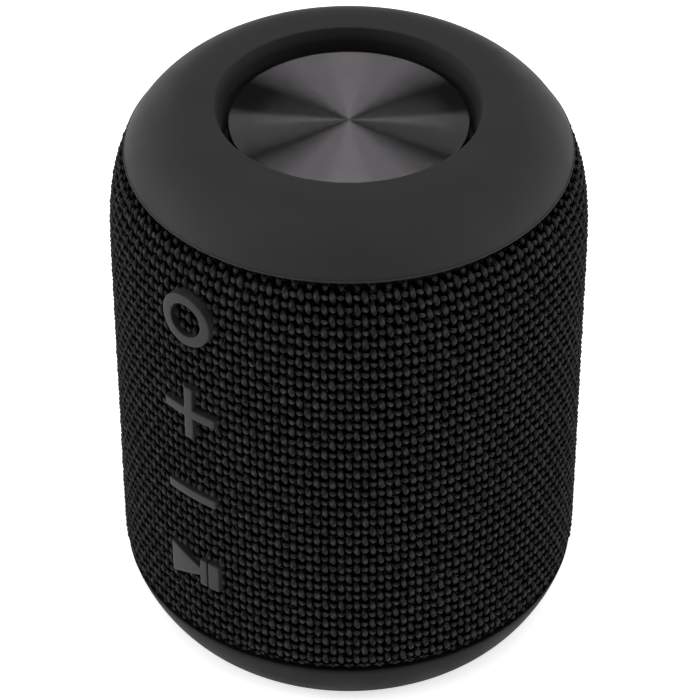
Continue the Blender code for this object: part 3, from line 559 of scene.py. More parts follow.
def make_base_cap():
    edge_z = BASE_SEAM_Z
    heights = np.linspace(edge_z - 0.4, BASE_LOW.z + 0.4, 14)
    profile = [(0.0, 4.2), (36.0, 4.2), (40.2, 8.0), (40.4, edge_z), (40.4, BASE_HIGH.z)]
    profile += [(BASE_LIP_OUTER, BASE_HIGH.z), (BASE_LIP_OUTER, edge_z - 0.25)]
    top_r = outer_radius(edge_z)
    profile += [(top_r - 0.75, edge_z - 0.12), (top_r - 0.42, edge_z), (top_r - 0.14, edge_z - 0.1)]
    profile += [(outer_radius(z), z) for z in heights]
    low_r = outer_radius(BASE_LOW.z)
    recess = FOOT_HIGH.x + 0.3
    profile += [(low_r - 0.2, BASE_LOW.z + 0.08), (low_r - 0.6, BASE_LOW.z)]
    ceiling = FOOT_HIGH.z + 0.3
    profile += [(recess + 0.3, BASE_LOW.z), (recess, BASE_LOW.z + 0.25), (recess, ceiling)]
    profile += [(0.0, ceiling)]
    burr_at = edge_z - 0.2

    def burr(angle, radii, heights):
        """The moulded edge above the ring isn't quite even."""
        near = np.clip((heights - burr_at) / 0.2, 0.0, 1.0) * (radii > BASE_LIP_OUTER + 0.5)
        ripple = np.sin(23 * angle + 1.0) * np.sin(57 * angle) + 0.6 * np.sin(131 * angle + 2.0)
        return radii + 0.035 * near * ripple, heights + 0.05 * near * np.roll(ripple, 7, axis=0)

    base = turned("base_shell", profile, BASE_LOOK, closed=False, wobble=burr)
    attach(base, "speaker", "base_cap")


FOOT_GROOVES = (29.0, 25.0, 21.0)
FOOT_GROOVE_DEPTH = 0.35
FOOT_DISH_RADIUS = 12.0


def make_foot():
    """A rubber pad with three shallow rings and a dished middle."""
    radius = FOOT_HIGH.x
    profile = [(0.0, FOOT_HIGH.z), (radius - 0.2, FOOT_HIGH.z), (radius, FOOT_HIGH.z - 0.2)]
    profile += arc((radius - 0.4, 0.4), 0.4, 0.0, -90.0, 5)
    for groove in FOOT_GROOVES:
        profile += [(groove + 0.6, 0.0), (groove + 0.35, FOOT_GROOVE_DEPTH)]
        profile += [(groove - 0.35, FOOT_GROOVE_DEPTH), (groove - 0.6, 0.0)]
    profile += [(FOOT_DISH_RADIUS, 0.0), (FOOT_DISH_RADIUS - 0.4, 0.3), (0.0, 0.3)]
    foot = turned("foot_ring_pad", profile, LOOKS["foot_rubber"], closed=False)
    attach(foot, "speaker", "foot_pad")


DISC_DISH = 0.14


def make_disc():
    radius = DISC_HIGH.x
    top = DISC_HIGH.z
    profile = [(0.0, top - 0.16), (0.25, top - 0.13), (0.6, top - DISC_DISH)]
    spread = np.linspace(2.0, radius - 0.6, 20)
    profile += [(r, top - DISC_DISH * (1.0 - r / radius)) for r in spread]
    profile += arc((radius - 0.25, top - 0.27), 0.25, 90.0, 0.0, 5)
    profile += [(radius, DISC_LOW.z + 0.15), (radius - 0.15, DISC_LOW.z), (0.0, DISC_LOW.z)]
    disc = turned("spun_disc", profile, LOOKS["spun_aluminium"], closed=False)
    attach(disc, "passive_radiator", "radiator_disc")


# ---- cloth

# Upright yarns around the sleeve, and the least height of one row of crossings.
COLUMNS = 188
ROW_PITCH = 2.31
# How far a yarn swings in and out, about a level below the outer form.
WARP_SWING = 0.40
WEFT_SWING = 0.36
YARN_LEVEL = -0.60
# Where the rings of a yarn's tube stand, as shares of the way from one crossing to the next.
WARP_SHARES = (0.0, 0.17, 0.33, 0.44, 0.56, 0.67, 0.83)
WEFT_SHARES = (0.0, 0.22, 0.42, 0.58, 0.78)
# Half the width of a yarn where it dives, and what it gains where it stands proud.
WARP_NARROW = 0.12
WARP_GAIN = 0.50
WEFT_NARROW = 0.15
WEFT_GAIN = 0.40
YARN_THIN = 0.15
YARN_GAIN = 0.15
# The share of a swing below which a yarn is at its narrowest.
WARP_DIVE = 0.26
WEFT_DIVE = 0.42
SWELL_POWER = 0.85
# Sideways lean of a yarn from crossing to crossing, then the size of its random wander.
WARP_LEAN = 0.13
WEFT_LEAN = 0.07
LEVEL_DRIFT = 0.035
WARP_WIDTH_DRIFT = 0.07
WARP_SWAY_DRIFT = 0.045
WEFT_WIDTH_DRIFT = 0.10
WEFT_SWAY_DRIFT = 0.07
# Painted shade: below this level a yarn's colour turns black, standing in for the shade deep in the
# weave; the power sets how it fades in.
PAINTED_SHADE_LEVEL = -0.64
PAINTED_SHADE_POWER = 1.5
# How many waves make up a wander.
WAVES = 5
# Corners of a yarn's section, and the step in its pattern from one yarn to the next.
SIDES = 6
AROUND = 2.0 * math.pi * (np.arange(SIDES) + 0.5) / SIDES
YARN_UV_STEP = 7.3
YARN_UV_AROUND = 3.0
HEM_LOW_Z = CLOTH_LOW.z
HEM_HIGH_Z = CLOTH_HIGH.z - 0.05
# How near a hem the yarns start to turn in, and how deep they go.
TUCK_LENGTH = 0.8
TUCK_DEPTH = 0.55


class Surface:
    """The sleeve's outer form by length along its profile, from the lower hem up."""

    def __init__(self):
        self.z = np.linspace(HEM_LOW_Z, HEM_HIGH_Z, 2000)
        self.r = np.array([outer_radius(z) for z in self.z])
        steps = np.hypot(np.diff(self.z), np.diff(self.r))
        self.s = np.concatenate([[0.0], np.cumsum(steps)])
        self.length = self.s[-1]
        slope_r = np.gradient(self.r, self.s)
        slope_z = np.gradient(self.z, self.s)
        self.normal_r = slope_z
        self.normal_z = -slope_r

    def at(self, s, angle, offset):
        """Points of the sleeve, offset outwards."""
        r = np.interp(s, self.s, self.r)
        z = np.interp(s, self.s, self.z)
        out_r = np.interp(s, self.s, self.normal_r)
        out_z = np.interp(s, self.s, self.normal_z)
        # below the hem the profile runs straight on
        z = z + np.minimum(s, 0.0)
        r = r + offset * out_r
        parts = np.broadcast_arrays(r * np.cos(angle), r * np.sin(angle), z + offset * out_z)
        return np.stack(parts, -1)

    def radius(self, s):
        return np.interp(s, self.s, self.r)


SLEEVE = Surface()
ROWS = int(SLEEVE.length / ROW_PITCH)
RANDOM = np.random.default_rng(SEED)


def waves(count, places, size, draw_rate):
    """Several waves of random rate and phase added up, differently for each of count yarns."""
    total = np.zeros((count, len(places)))
    for _ in range(WAVES):
        rate = draw_rate((count, 1))
        phase = RANDOM.uniform(0.0, 2.0 * math.pi, (count, 1))
        total += np.sin(rate * places[None, :] + phase)
    return size * total / math.sqrt(WAVES)


def drift(count, places, size):
    """Slow wander of yarns at the given places (in rows)."""

    def rate(shape):
        return 2.0 * math.pi / RANDOM.uniform(3.0, 17.0, shape)

    return waves(count, places, size, rate)


def wander_around(count, columns, size):
    """As drift, for yarns that close on themselves."""
    turns = columns * 2.0 * math.pi / COLUMNS
    return waves(count, turns, size, lambda shape: RANDOM.integers(9, 60, shape))


def tube_faces(lines, rings, sides, ring_loops):
    """Quads around tubes stored line by line; ring_loops joins the last ring to the first."""
    line = np.arange(lines)[:, None, None]
    ring = np.arange(rings if ring_loops else rings - 1)[None, :, None]
    side = np.arange(sides)[None, None, :]
    following = (ring + 1) % rings
    turn = (side + 1) % sides

    def index(k, m):
        return (line * rings + k) * sides + m

    corners = ((ring, side), (ring, turn), (following, turn), (following, side))
    shape = (lines, ring.shape[1], sides)
    return np.stack([np.broadcast_to(index(k, m), shape) for k, m in corners], -1)


def swelling(over, start):
    """A yarn's thickness from 0 to 1: it narrows to a point where it dives under the next."""
    return np.clip((over - start) / (1.0 - start), 0.0, 1.0) ** SWELL_POWER


def painted_shade_uv(quads, offset, kind):
    """How high each corner stands in the weave, from 0 to 1, for the painted shade of deep yarns, and
    which yarns it belongs to.
    """
    height = np.clip((offset.reshape(-1) - PAINTED_SHADE_LEVEL) / -PAINTED_SHADE_LEVEL, 0.0, 1.0) ** PAINTED_SHADE_POWER
    corners = height[quads]
    return np.stack([corners, np.full(corners.shape, kind)], -1)


def make_warp():
    """The upright yarns: points, quads by yarn, and the two UV layers."""
    rows = (np.arange(ROWS)[:, None] + np.array(WARP_SHARES)).ravel()
    rows = np.append(rows, ROWS)
    s = rows * SLEEVE.length / ROWS
    yarn = np.arange(COLUMNS)[:, None]
    phase = np.cos(math.pi * (rows[None, :] + yarn))
    swell = swelling(0.5 + 0.5 * phase, WARP_DIVE)
    tuck = np.clip(1.0 - np.minimum(s, SLEEVE.length - s) / TUCK_LENGTH, 0.0, 1.0) ** 2
    level = YARN_LEVEL + WARP_SWING * phase + drift(COLUMNS, rows, LEVEL_DRIFT)
    half_width = (WARP_NARROW + WARP_GAIN * swell) * (1.0 + drift(COLUMNS, rows, WARP_WIDTH_DRIFT))
    half_depth = YARN_THIN + YARN_GAIN * swell
    lean = WARP_LEAN * np.sin(math.pi * (rows[None, :] + yarn))
    sway = drift(COLUMNS, rows, WARP_SWAY_DRIFT) - lean
    lateral = sway[..., None] + half_width[..., None] * np.cos(AROUND)
    offset = level[..., None] + half_depth[..., None] * np.sin(AROUND)
    place = np.broadcast_to(s[None, :, None], lateral.shape)
    angle = yarn[..., None] * 2.0 * math.pi / COLUMNS + lateral / SLEEVE.radius(place)
    offset = offset - TUCK_DEPTH * tuck[None, :, None]
    points = SLEEVE.at(place, angle, offset)
    quads = tube_faces(COLUMNS, len(s), SIDES, False)
    uv = yarn_uv(s, yarn[..., None], quads.shape[:3])
    return points, quads, uv, painted_shade_uv(quads, offset, 0.0)


def yarn_uv(ends, shift, shape):
    """Along the yarn in millimetres and around it, moved on by yarn so that no two match."""
    start = ends[:-1][None, :, None]
    end = ends[1:][None, :, None]
    side = np.arange(SIDES)[None, None, :]
    along = YARN_UV_STEP * shift
    corners = []
    for far, turn in ((0, 0), (0, 1), (1, 1), (1, 0)):
        u = np.broadcast_to((end if far else start) + along, shape)
        v = np.broadcast_to((side + turn) / SIDES * YARN_UV_AROUND, shape)
        corners.append(np.stack([u, v], -1))
    return np.stack(corners, -2)


def make_weft():
    """The yarns that run around, each a closed ring: as make_warp."""
    columns = (np.arange(COLUMNS)[:, None] + np.array(WEFT_SHARES)).ravel()
    row = np.arange(ROWS + 1)[:, None]
    phase = -np.cos(math.pi * (columns[None, :] + row))
    swell = swelling(0.5 + 0.5 * phase, WEFT_DIVE)
    at_hem = np.minimum(row, ROWS - row) < 1
    level = YARN_LEVEL + WEFT_SWING * phase + wander_around(ROWS + 1, columns, LEVEL_DRIFT)
    uneven = 1.0 + wander_around(ROWS + 1, columns, WEFT_WIDTH_DRIFT)
    half_height = (WEFT_NARROW + WEFT_GAIN * swell) * uneven
    half_depth = YARN_THIN + YARN_GAIN * swell
    lean = WEFT_LEAN * np.sin(math.pi * (columns[None, :] + row))
    sway = wander_around(ROWS + 1, columns, WEFT_SWAY_DRIFT) + lean
    pitch = SLEEVE.length / ROWS
    place = (row * pitch)[..., None] + sway[..., None] - half_height[..., None] * np.cos(AROUND)
    place = np.clip(place, 0.0, SLEEVE.length)
    offset = level[..., None] + half_depth[..., None] * np.sin(AROUND)
    angle = np.broadcast_to((columns * 2.0 * math.pi / COLUMNS)[None, :, None], place.shape)
    offset = offset - TUCK_DEPTH * at_hem[..., None]
    points = SLEEVE.at(place, angle, offset)
    quads = tube_faces(ROWS + 1, len(columns), SIDES, True)
    ends = np.append(columns, COLUMNS) * 2.0 * math.pi * BODY_RADIUS / COLUMNS
    uv = yarn_uv(ends, row[..., None] + 0.4, quads.shape[:3])
    return points, quads, uv, painted_shade_uv(quads, offset, 1.0)


# ---- symbols

SYMBOL_STROKE = 2.0
FLANGE_MARGIN = 1.3
POWER_RADIUS = 5.6
POWER_HOLE_RADIUS = 3.5
POWER_Z = middle_z("power_button")
PLUS_Z = middle_z("volume_up_button")
PLUS_SPAN = PLUS_HIGH.z - PLUS_LOW.z - 2.0 * FLANGE_MARGIN
MINUS_Z = middle_z("volume_down_button")
MINUS_SPAN = 11.5
PLAY_Z = middle_z("play_pause_button")
PLAY_LEFT = -5.9
PLAY_RIGHT = 5.9
PLAY_HALF_HEIGHT = 3.95
PLAY_TIP_X = 1.5
PLAY_TIP_HALF_HEIGHT = 0.95
PAUSE_HALF_HEIGHT = 3.2
PAUSE_GROOVE_X = 3.3
PAUSE_GROOVE_WIDTH = 0.3
PANEL_CORNER = 3.0


def circle_outline(radius, count=72):
    angles = np.arange(count) * 2.0 * math.pi / count
    return [(radius * math.cos(a), radius * math.sin(a)) for a in angles]


def power_outline(grow=0.0):
    return circle_outline(POWER_RADIUS + grow)


def power_hole_outline(grow=0.0):
    return circle_outline(POWER_HOLE_RADIUS + grow)


def plus_outline(grow=0.0):
    arm = PLUS_SPAN / 2.0 + grow
    half = SYMBOL_STROKE / 2.0 + grow
    return [
        (arm, half), (half, half), (half, arm), (-half, arm), (-half, half), (-arm, half),
        (-arm, -half), (-half, -half), (-half, -arm), (half, -arm), (half, -half), (arm, -half),
    ]


def minus_outline(grow=0.0):
    arm = MINUS_SPAN / 2.0 + grow
    half = SYMBOL_STROKE / 2.0 + grow
    return [(arm, half), (-arm, half), (-arm, -half), (arm, -half)]


def play_outline(grow=0.0):
    """A blunt triangle that runs into a square block, the pause bars."""
    return play_shape(PLAY_RIGHT + grow, grow)


def play_shape(right, grow):
    upper = [
        (right, PAUSE_HALF_HEIGHT + grow),
        (PLAY_TIP_X - grow, PAUSE_HALF_HEIGHT + grow),
        (PLAY_TIP_X - grow, PLAY_TIP_HALF_HEIGHT + grow),
        (PLAY_LEFT - grow, PLAY_HALF_HEIGHT + 1.5 * grow),
    ]
    return upper + [(x, -z) for x, z in reversed(upper)]


def play_first_outline(grow=0.0):
    """The triangle and the first pause bar."""
    return play_shape(PAUSE_GROOVE_X - PAUSE_GROOVE_WIDTH / 2.0 + grow, grow)


def block_outline(left, right, half_height, grow):
    return [
        (right + grow, half_height + grow), (left - grow, half_height + grow),
        (left - grow, -half_height - grow), (right + grow, -half_height - grow),
    ]


def pause_outline(grow=0.0):
    """The second pause bar."""
    left = PAUSE_GROOVE_X + PAUSE_GROOVE_WIDTH / 2.0
    return block_outline(left, PLAY_RIGHT, PAUSE_HALF_HEIGHT, grow)


def groove_outline(grow=0.0):
    """The low web that joins the two bars."""
    left = PAUSE_GROOVE_X - PAUSE_GROOVE_WIDTH
    right = PAUSE_GROOVE_X + PAUSE_GROOVE_WIDTH
    return block_outline(left, right, PAUSE_HALF_HEIGHT - 0.15, grow)


def rectangle_outline(half_width, half_height):
    return block_outline(-half_width, half_width, half_height, 0.0)


def rounded(outline, radius, steps=4):
    """The outline with each corner turned into an arc of the same number of points."""
    points = [Vector(p) for p in outline]
    made = []
    for i, corner in enumerate(points):
        before = points[i - 1] - corner
        after = points[(i + 1) % len(points)] - corner
        half_turn = before.angle(after) / 2.0
        reach = min(radius / math.tan(half_turn), 0.45 * min(before.length, after.length))
        start = corner + before.normalized() * reach
        end = corner + after.normalized() * reach
        for k in range(steps + 1):
            t = k / steps
            made.append(start.lerp(corner, t).lerp(corner.lerp(end, t), t))
    return made


def divided(outline, counts):
    """Extra points along each edge; counts comes from edge_counts on the first outline."""
    made = []
    for i, point in enumerate(outline):
        following = outline[(i + 1) % len(outline)]
        for k in range(counts[i]):
            made.append(Vector(point).lerp(Vector(following), k / counts[i]))
    return made


def edge_counts(outline, spacing):
    following = outline[1:] + outline[:1]
    lengths = [(Vector(q) - Vector(p)).length for p, q in zip(outline, following)]
    return [max(1, round(length / spacing)) for length in lengths]


def inside_outline(outline, x, z):
    """True where a point lies inside the outline, by the even-odd rule."""
    x = np.asarray(x, float)
    z = np.asarray(z, float)
    found = np.zeros(np.broadcast(x, z).shape, bool)
    for i in range(len(outline)):
        (x1, z1), (x2, z2) = outline[i - 1], outline[i]
        if z1 == z2:
            continue
        crosses = (z1 > z) != (z2 > z)
        found ^= crosses & (x < (x2 - x1) * (z - z1) / (z2 - z1) + x1)
    return found


FRONT_SPACING = 0.7
BACK_SPACING = 2.0
RING_SPACING = 0.5
EDGE_STEPS = 4


def face_fill(made, loops, lift, spacing):
    """Fills between closed rings of bmesh vertices, Delaunay; lift gives a new point's place."""
    rings = [[Vector(p) for p in loop[0]] for loop in loops]

    def filled(x, z):
        """True inside the first ring and outside the others."""
        found = inside_outline(rings[0], x, z)
        for ring in rings[1:]:
            found = found & ~inside_outline(ring, x, z)
        return found

    flat = [p for ring in rings for p in ring]
    vertices = [v for loop in loops for v in loop[1]]
    edges = []
    begin = 0
    for ring in rings:
        count = len(ring)
        edges += [(begin + i, begin + (i + 1) % count) for i in range(count)]
        begin += count
    xs = [p.x for p in flat]
    zs = [p.y for p in flat]
    grid_x, grid_z = np.meshgrid(
        np.arange(min(xs), max(xs), spacing) + spacing / 2.0,
        np.arange(min(zs), max(zs), spacing) + spacing / 2.0,
    )
    grid_x = grid_x.ravel()
    grid_z = grid_z.ravel()
    keep = filled(grid_x, grid_z)
    away = np.min(np.hypot(grid_x[:, None] - np.array(xs), grid_z[:, None] - np.array(zs)), axis=1)
    keep &= away > 0.4 * spacing
    inner = [Vector((float(x), float(z))) for x, z in zip(grid_x[keep], grid_z[keep])]
    output = delaunay_2d_cdt(flat + inner, edges, [], 0, 1e-6)
    corners, faces, origins = output[0], output[2], output[3]
    placed = []
    for corner, origin in zip(corners, origins):
        named = [i for i in origin if i < len(flat)]
        placed.append(vertices[named[0]] if named else made.verts.new(lift(corner.x, corner.y)))
    for face in faces:
        middle = sum((corners[i] for i in face), Vector((0.0, 0.0))) / len(face)
        if filled(middle.x, middle.y):
            made.faces.new([placed[i] for i in face])


def raised(
    name, outline, hole, centre_z, radius, edge, back_y, look, corner=0.25, side=-1.0, hole_corner=0.25
):
    """A solid with the outline, seen along Y, whose front follows the drum at radius.

    outline and hole are functions of how far they grow; edge is the radius of the rounded front
    edge. side is -1 for a piece on the -Y side and 1 for one on the +Y side.
    """
    made = bmesh.new()
    slopes = [math.pi / 2.0 * k / EDGE_STEPS for k in range(EDGE_STEPS + 1)]
    insets = [(edge * (1.0 - math.cos(a)), edge * (1.0 - math.sin(a))) for a in slopes]

    def lift(x, z, drop=0.0):
        y = side * (math.sqrt(radius * radius - x * x) - drop)
        return Vector((x, y, centre_z + z)) * MM

    def flat_back(x, z):
        return Vector((x, back_y, centre_z + z)) * MM

    loops = []
    for shape, sign, turn in ((outline, 1.0, corner), (hole, -1.0, hole_corner)):
        if shape is None:
            continue
        first = rounded(shape(0.0), turn)
        counts = edge_counts(first, RING_SPACING)
        rings = []
        base = divided(first, counts)
        rings.append([made.verts.new(flat_back(p.x, p.y)) for p in base])
        for inset, drop in insets:
            ring = divided(rounded(shape(-sign * inset), max(0.05, turn - 0.5 * inset)), counts)
            rings.append([made.verts.new(lift(p.x, p.y, drop)) for p in ring])
        for lower, upper in zip(rings, rings[1:]):
            for i in range(len(lower)):
                following = (i + 1) % len(lower)
                made.faces.new((lower[i], lower[following], upper[following], upper[i]))
        loops.append((ring, rings[-1], base, rings[0]))
    face_fill(made, [loop[:2] for loop in loops], lift, FRONT_SPACING)
    face_fill(made, [loop[2:] for loop in loops], flat_back, BACK_SPACING)
    return smooth_piece(name, made, look, RAISED_SHARP)


SYMBOL_EDGE = 0.22
SYMBOL_BACK_Y = -41.2
WEB_RADIUS = SYMBOL_TOP_RADIUS - 0.8


def make_symbols():
    """The four symbols, each on its own button; the play symbol's bars are joined by a low web."""
    top = SYMBOL_TOP_RADIUS
    for name, outline, hole, centre_z, radius, button, stands_in in (
        ("power_symbol", power_outline, power_hole_outline, POWER_Z, top, "power_button", True),
        ("plus_symbol", plus_outline, None, PLUS_Z, top, "volume_up_button", True),
        ("minus_symbol", minus_outline, None, MINUS_Z, top, "volume_down_button", True),
        ("play_symbol", play_first_outline, None, PLAY_Z, top, "play_pause_button", True),
        ("pause_symbol", pause_outline, None, PLAY_Z, top, "play_pause_button", False),
        ("pause_web", groove_outline, None, PLAY_Z, WEB_RADIUS, "play_pause_button", False),
    ):
        piece = raised(
            name, outline, hole, centre_z, radius, SYMBOL_EDGE, SYMBOL_BACK_Y, LOOKS["silicone"]
        )
        attach(piece, button, button if stands_in else None)


# ---- weave pieces

CUT_INSIDE = 0.15
PANEL_HALF_WIDTH = (PANEL_HIGH.x - PANEL_LOW.x) / 2.0
PANEL_HALF_HEIGHT = (PANEL_HIGH.z - PANEL_LOW.z) / 2.0
PANEL_Z = middle_z("port_panel")


def cloth_holes():
    """Where the sleeve has no cloth: (side, outline, centre height)."""
    return [
        (-1, power_outline(-CUT_INSIDE), POWER_Z),
        (-1, plus_outline(-CUT_INSIDE), PLUS_Z),
        (-1, minus_outline(-CUT_INSIDE), MINUS_Z),
        (-1, play_outline(-CUT_INSIDE), PLAY_Z),
        (1, rounded(rectangle_outline(PANEL_HALF_WIDTH, PANEL_HALF_HEIGHT), PANEL_CORNER), PANEL_Z),
    ]


def shown(middles):
    """True for the faces that no symbol or panel covers."""
    keep = np.ones(middles.shape[:-1], bool)
    for side, outline, centre_z in cloth_holes():
        found = inside_outline(outline, middles[..., 0], middles[..., 2] - centre_z)
        keep &= ~(found & (middles[..., 1] * side > 0))
    return keep


def make_weave():
    """The sleeve's yarns, in a few pieces so that none has too many faces."""
    pieces = []
    yarns = (make_warp(), make_weft())
    for kind, made, parts in (("warp", yarns[0], 4), ("weft", yarns[1], 3)):
        points, quads, uv, depth = made
        flat = points.reshape(-1, 3)
        keep = shown(flat[quads].mean(axis=-2))
        edges = np.linspace(0, len(quads), parts + 1).astype(int)
        for i in range(parts):
            part = slice(edges[i], edges[i + 1])
            kept = keep[part]
            name = f"{kind}_yarns_{i + 1}"
            layers = {"yarn": uv[part][kept], "depth": depth[part][kept]}
            mesh = quad_mesh(name, flat, quads[part][kept], **layers)
            piece = new_piece(name, mesh, LOOKS["cloth"])
            attach(piece, "speaker")
            pieces.append(piece)
    make_inlay(yarns)
    return pieces


INLAY_REACH = POWER_HOLE_RADIUS + 0.1
INLAY_GROUND_Y = -43.95
INLAY_EDGE = 0.1


def inlay_outline(grow=0.0):
    return circle_outline(INLAY_REACH + grow)


def make_inlay(yarns):
    """The disc of the same cloth inside the power ring, and the dark ground under it, whose near-black
    colour is painted shade in the gaps.
    """
    parts = []
    begin = 0
    for points, quads, uv, depth in yarns:
        flat = points.reshape(-1, 3)
        middles = flat[quads].mean(axis=-2)
        away = np.hypot(middles[..., 0], middles[..., 2] - POWER_Z)
        keep = (away < INLAY_REACH) & (middles[..., 1] < 0)
        parts.append((flat, quads[keep] + begin, uv[keep], depth[keep]))
        begin += len(flat)
    flat, quads, uv, depth = (np.concatenate([part[i] for part in parts]) for i in range(4))
    mesh = quad_mesh("power_inlay_yarns", flat, quads, yarn=uv, depth=depth)
    piece = new_piece("power_inlay_yarns", mesh, LOOKS["cloth"])
    attach(piece, "power_button")
    ground = raised(
        "power_inlay_ground", inlay_outline, None, POWER_Z, -INLAY_GROUND_Y, INLAY_EDGE,
        INLAY_HIGH.y, BACKING_LOOK,
    )
    attach(ground, "power_button", "power_button_cloth_inlay")


FUZZ_COUNT = 15000
FUZZ_JOINTS = 4
FUZZ_RADIUS = 0.02
FUZZ_LOOK = plastic_look("fuzz", grey(0.075), 0.9, 0.3, 0.004)


def make_fuzz():
    """Loose fibres that stand out of the yarns in short curls."""
    angle = RANDOM.uniform(0.0, 2.0 * math.pi, FUZZ_COUNT)
    s = RANDOM.uniform(0.6, SLEEVE.length - 0.6, FUZZ_COUNT)
    level = RANDOM.uniform(-0.55, -0.05, FUZZ_COUNT)
    heading = RANDOM.uniform(0.0, 2.0 * math.pi, FUZZ_COUNT)
    bend = RANDOM.uniform(-2.2, 2.2, FUZZ_COUNT)
    reach = RANDOM.uniform(0.3, 0.9, FUZZ_COUNT)
    rise = RANDOM.uniform(-0.1, 0.35, FUZZ_COUNT)
    t = np.linspace(0.0, 1.0, FUZZ_JOINTS)[None, :]
    turn = heading[:, None] + bend[:, None] * t
    along = s[:, None] + reach[:, None] * t * np.sin(turn)
    across = reach[:, None] * t * np.cos(turn)
    lift = level[:, None] + rise[:, None] * np.sin(math.pi * t)
    around = 2.0 * math.pi * np.arange(3) / 3.0
    taper = FUZZ_RADIUS * (1.0 - 0.6 * t)
    wide = taper[..., None] * np.cos(around)
    place = along[..., None] + wide * np.cos(turn)[..., None]
    swing = across[..., None] - wide * np.sin(turn)[..., None]
    offset = lift[..., None] + taper[..., None] * np.sin(around)
    place = np.clip(place, 0.1, SLEEVE.length - 0.1)
    points = SLEEVE.at(place, angle[:, None, None] + swing / SLEEVE.radius(place), offset)
    quads = tube_faces(FUZZ_COUNT, FUZZ_JOINTS, 3, False)
    flat = points.reshape(-1, 3)
    clear = shown(points.mean(axis=2)).all(axis=1)
    mesh = quad_mesh("cloth_fuzz", flat, quads[clear])
    piece = new_piece("cloth_fuzz", mesh, FUZZ_LOOK)
    attach(piece, "speaker")
    return piece


BACKING_LEVEL = -0.88
BACKING_RINGS = 160
BACKING_STEPS = 360
BACKING_HEM = 0.3


def make_backing():
    """The thin ground of the cloth under its yarns, stretched over the shell; its near-black colour is
    painted shade in the gaps.
    """
    s = np.linspace(BACKING_HEM, SLEEVE.length - BACKING_HEM, BACKING_RINGS)
    angle = np.arange(BACKING_STEPS) * 2.0 * math.pi / BACKING_STEPS
    points = SLEEVE.at(s[None, :], angle[:, None], BACKING_LEVEL).reshape(-1, 3)
    i = np.arange(BACKING_STEPS)[:, None]
    k = np.arange(BACKING_RINGS - 1)[None, :]
    here = i * BACKING_RINGS + k
    there = (i + 1) % BACKING_STEPS * BACKING_RINGS + k
    quads = np.stack([here, there, there + 1, here + 1], -1)
    keep = shown(points[quads].mean(axis=-2))
    mesh = quad_mesh("cloth_backing", points, quads[keep])
    backing = new_piece("cloth_backing", mesh, BACKING_LOOK)
    attach(backing, "speaker", "cloth_sleeve")


# ---- port panel


LIP_OVERHANG = 0.5
LIP_PROUD = 0.3
LIP_BACK_Y = 41.0
LIP_EDGE = 0.35
LIP_INNER_CORNER = 0.4
RECESS_HALF_WIDTH = 14.6
RECESS_HALF_HEIGHT = 4.8
PANEL_RADIUS = PANEL_HIGH.y
SKIN_MARGIN = 0.15
SKIN_LEFT = 12.2
SKIN_BACK_Y = 42.0
SKIN_PROUD = 0.35
SKIN_EDGE = 0.25
SKIN_CORNER = 0.5
NOTCH_RADIUS = 2.9
NOTCH_CENTRE_X = 14.9


def lip_outline(grow=0.0):
    grow = LIP_OVERHANG + grow
    return rectangle_outline(PANEL_HALF_WIDTH + grow, PANEL_HALF_HEIGHT + grow)


def recess_outline(grow=0.0):
    return rectangle_outline(RECESS_HALF_WIDTH + grow, RECESS_HALF_HEIGHT + grow)


def skin_outline(grow=0.0):
    """The flap's outer skin, with a notch for a fingernail on the side away from the hinge."""
    half_width = FLAP_HIGH.x - SKIN_MARGIN + grow
    half_height = (FLAP_HIGH.z - FLAP_LOW.z) / 2.0 - SKIN_MARGIN + grow
    left = -SKIN_LEFT - grow
    radius = NOTCH_RADIUS - grow
    spread = math.acos((NOTCH_CENTRE_X - half_width) / radius)
    turns = [spread * (k / 4.0 - 1.0) for k in range(9)]
    notch = [(NOTCH_CENTRE_X - radius * math.cos(a), radius * math.sin(a)) for a in turns]
    corners = [(half_width, half_height), (left, half_height), (left, -half_height)]
    return corners + [(half_width, -half_height)] + notch


def make_port():
    """A rounded lip over the cut edge of the cloth, and a rubber skin on the flap."""
    lip = raised(
        "port_lip", lip_outline, recess_outline, PANEL_Z, PANEL_RADIUS + LIP_PROUD, LIP_EDGE,
        LIP_BACK_Y, LOOKS["inner_plastic"], corner=PANEL_CORNER + LIP_OVERHANG, side=1.0,
        hole_corner=LIP_INNER_CORNER,
    )
    attach(lip, "speaker")
    skin = raised(
        "port_flap_skin", skin_outline, None, PANEL_Z, PANEL_RADIUS + SKIN_PROUD, SKIN_EDGE,
        SKIN_BACK_Y, LOOKS["foot_rubber"], corner=SKIN_CORNER, side=1.0,
    )
    attach(skin, "port_flap")


# ---- floor, light and camera

CAMERA_PITCH = math.radians(38.967)
CAMERA_TURN = math.radians(40.2)
CAMERA_DISTANCE = 0.6553
CAMERA_TARGET = Vector((0.0, 0.0, 0.05604))
CAMERA_SLIDE = 0.000205
CAMERA_LENS = 173.48


def toward(turn, rise):
    """A unit vector at a turn round from the camera's own side and a rise above the horizon."""
    turn = CAMERA_TURN + math.radians(turn)
    rise = math.radians(rise)
    level = math.cos(rise)
    return Vector((math.sin(turn) * level, -math.cos(turn) * level, math.sin(rise)))


def make_camera():
    back = toward(0.0, math.degrees(CAMERA_PITCH))
    data = bpy.data.cameras.new("camera")
    data.lens = CAMERA_LENS
    data.clip_start = 0.05
    data.clip_end = 10.0
    camera = bpy.data.objects.new("camera", data)
    bpy.context.scene.collection.objects.link(camera)
    camera.rotation_mode = "QUATERNION"
    camera.rotation_quaternion = (-back).to_track_quat("-Z", "Y")
    right = camera.rotation_quaternion @ Vector((1.0, 0.0, 0.0))
    camera.location = CAMERA_TARGET + back * CAMERA_DISTANCE + right * CAMERA_SLIDE
    bpy.context.scene.camera = camera


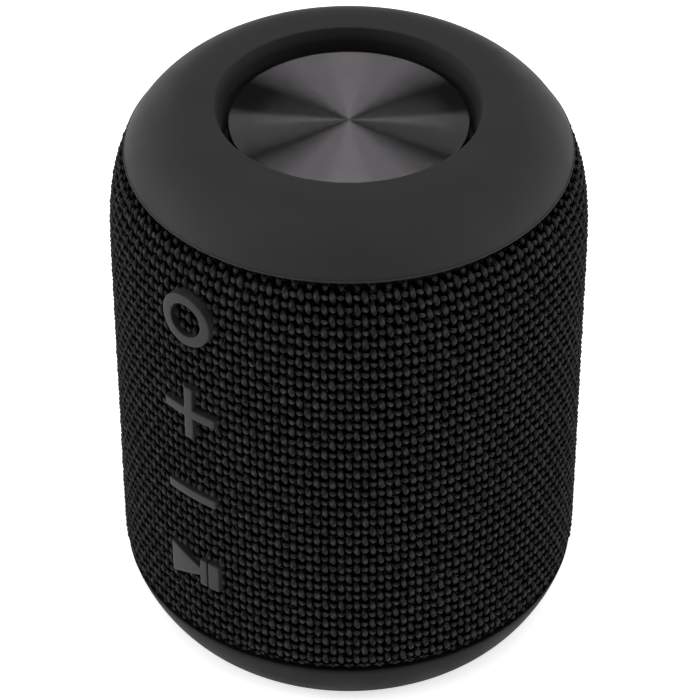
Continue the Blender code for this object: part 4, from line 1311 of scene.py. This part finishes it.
def make_light(name, turn, rise, distance, width, height, power):
    """A soft box that faces the speaker."""
    data = bpy.data.lights.new(name, "AREA")
    data.shape = "RECTANGLE"
    data.size = width
    data.size_y = height
    data.energy = power
    light = bpy.data.objects.new(name, data)
    bpy.context.scene.collection.objects.link(light)
    direction = toward(turn, rise)
    light.location = CAMERA_TARGET + direction * distance
    light.rotation_mode = "QUATERNION"
    light.rotation_quaternion = direction.to_track_quat("Z", "Y")


FLOOR_GLOW = 0.7
WORLD_STRENGTH = 0.06
# Name, turn, rise, distance, width, height and watts.
LIGHTS = (
    ("overhead", 0.0, 86.0, 1.3, 1.9, 1.9, 17.0),
    ("front_top", 0.0, 62.0, 1.2, 0.6, 0.35, 1.3),
    ("back_left", 155.0, 14.0, 1.6, 0.74, 0.62, 1.7),
    ("back_right", 205.0, 12.0, 1.6, 0.74, 0.55, 1.6),
    ("side_left", -94.0, 12.0, 1.4, 0.5, 0.5, 9.0),
    ("side_right", 92.0, 12.0, 1.4, 0.5, 0.5, 6.0),
)


def make_floor():
    """A pale table that glows a little, so that almost no shadow shows on it."""
    made = bmesh.new()
    bmesh.ops.create_grid(made, x_segments=8, y_segments=8, size=2.5)
    mesh = bpy.data.meshes.new("floor")
    made.to_mesh(mesh)
    made.free()
    look = Look("floor", 0.9, Specular_IOR_Level=0.1, Emission_Strength=FLOOR_GLOW)
    look.set("Emission Color", (1.0, 1.0, 1.0, 1.0))
    look.colour(look.mix(look.noise(300.0, 2.0), grey(0.90), grey(0.94)))
    floor = new_piece("floor", mesh, look.material)


def make_studio():
    world = bpy.data.worlds.new("studio")
    bpy.context.scene.world = world
    world.use_nodes = True
    background = world.node_tree.nodes["Background"]
    background.inputs["Color"].default_value = (1.0, 1.0, 1.0, 1.0)
    background.inputs["Strength"].default_value = WORLD_STRENGTH
    for light in LIGHTS:
        make_light(*light)
    bpy.context.scene.view_settings.view_transform = "Standard"


make_camera()
make_studio()
make_floor()
finish_cad_nodes()
make_top_cap()
make_base_cap()
make_foot()
make_disc()
make_symbols()
make_port()
weave = make_weave()
weave.append(make_fuzz())
make_backing()
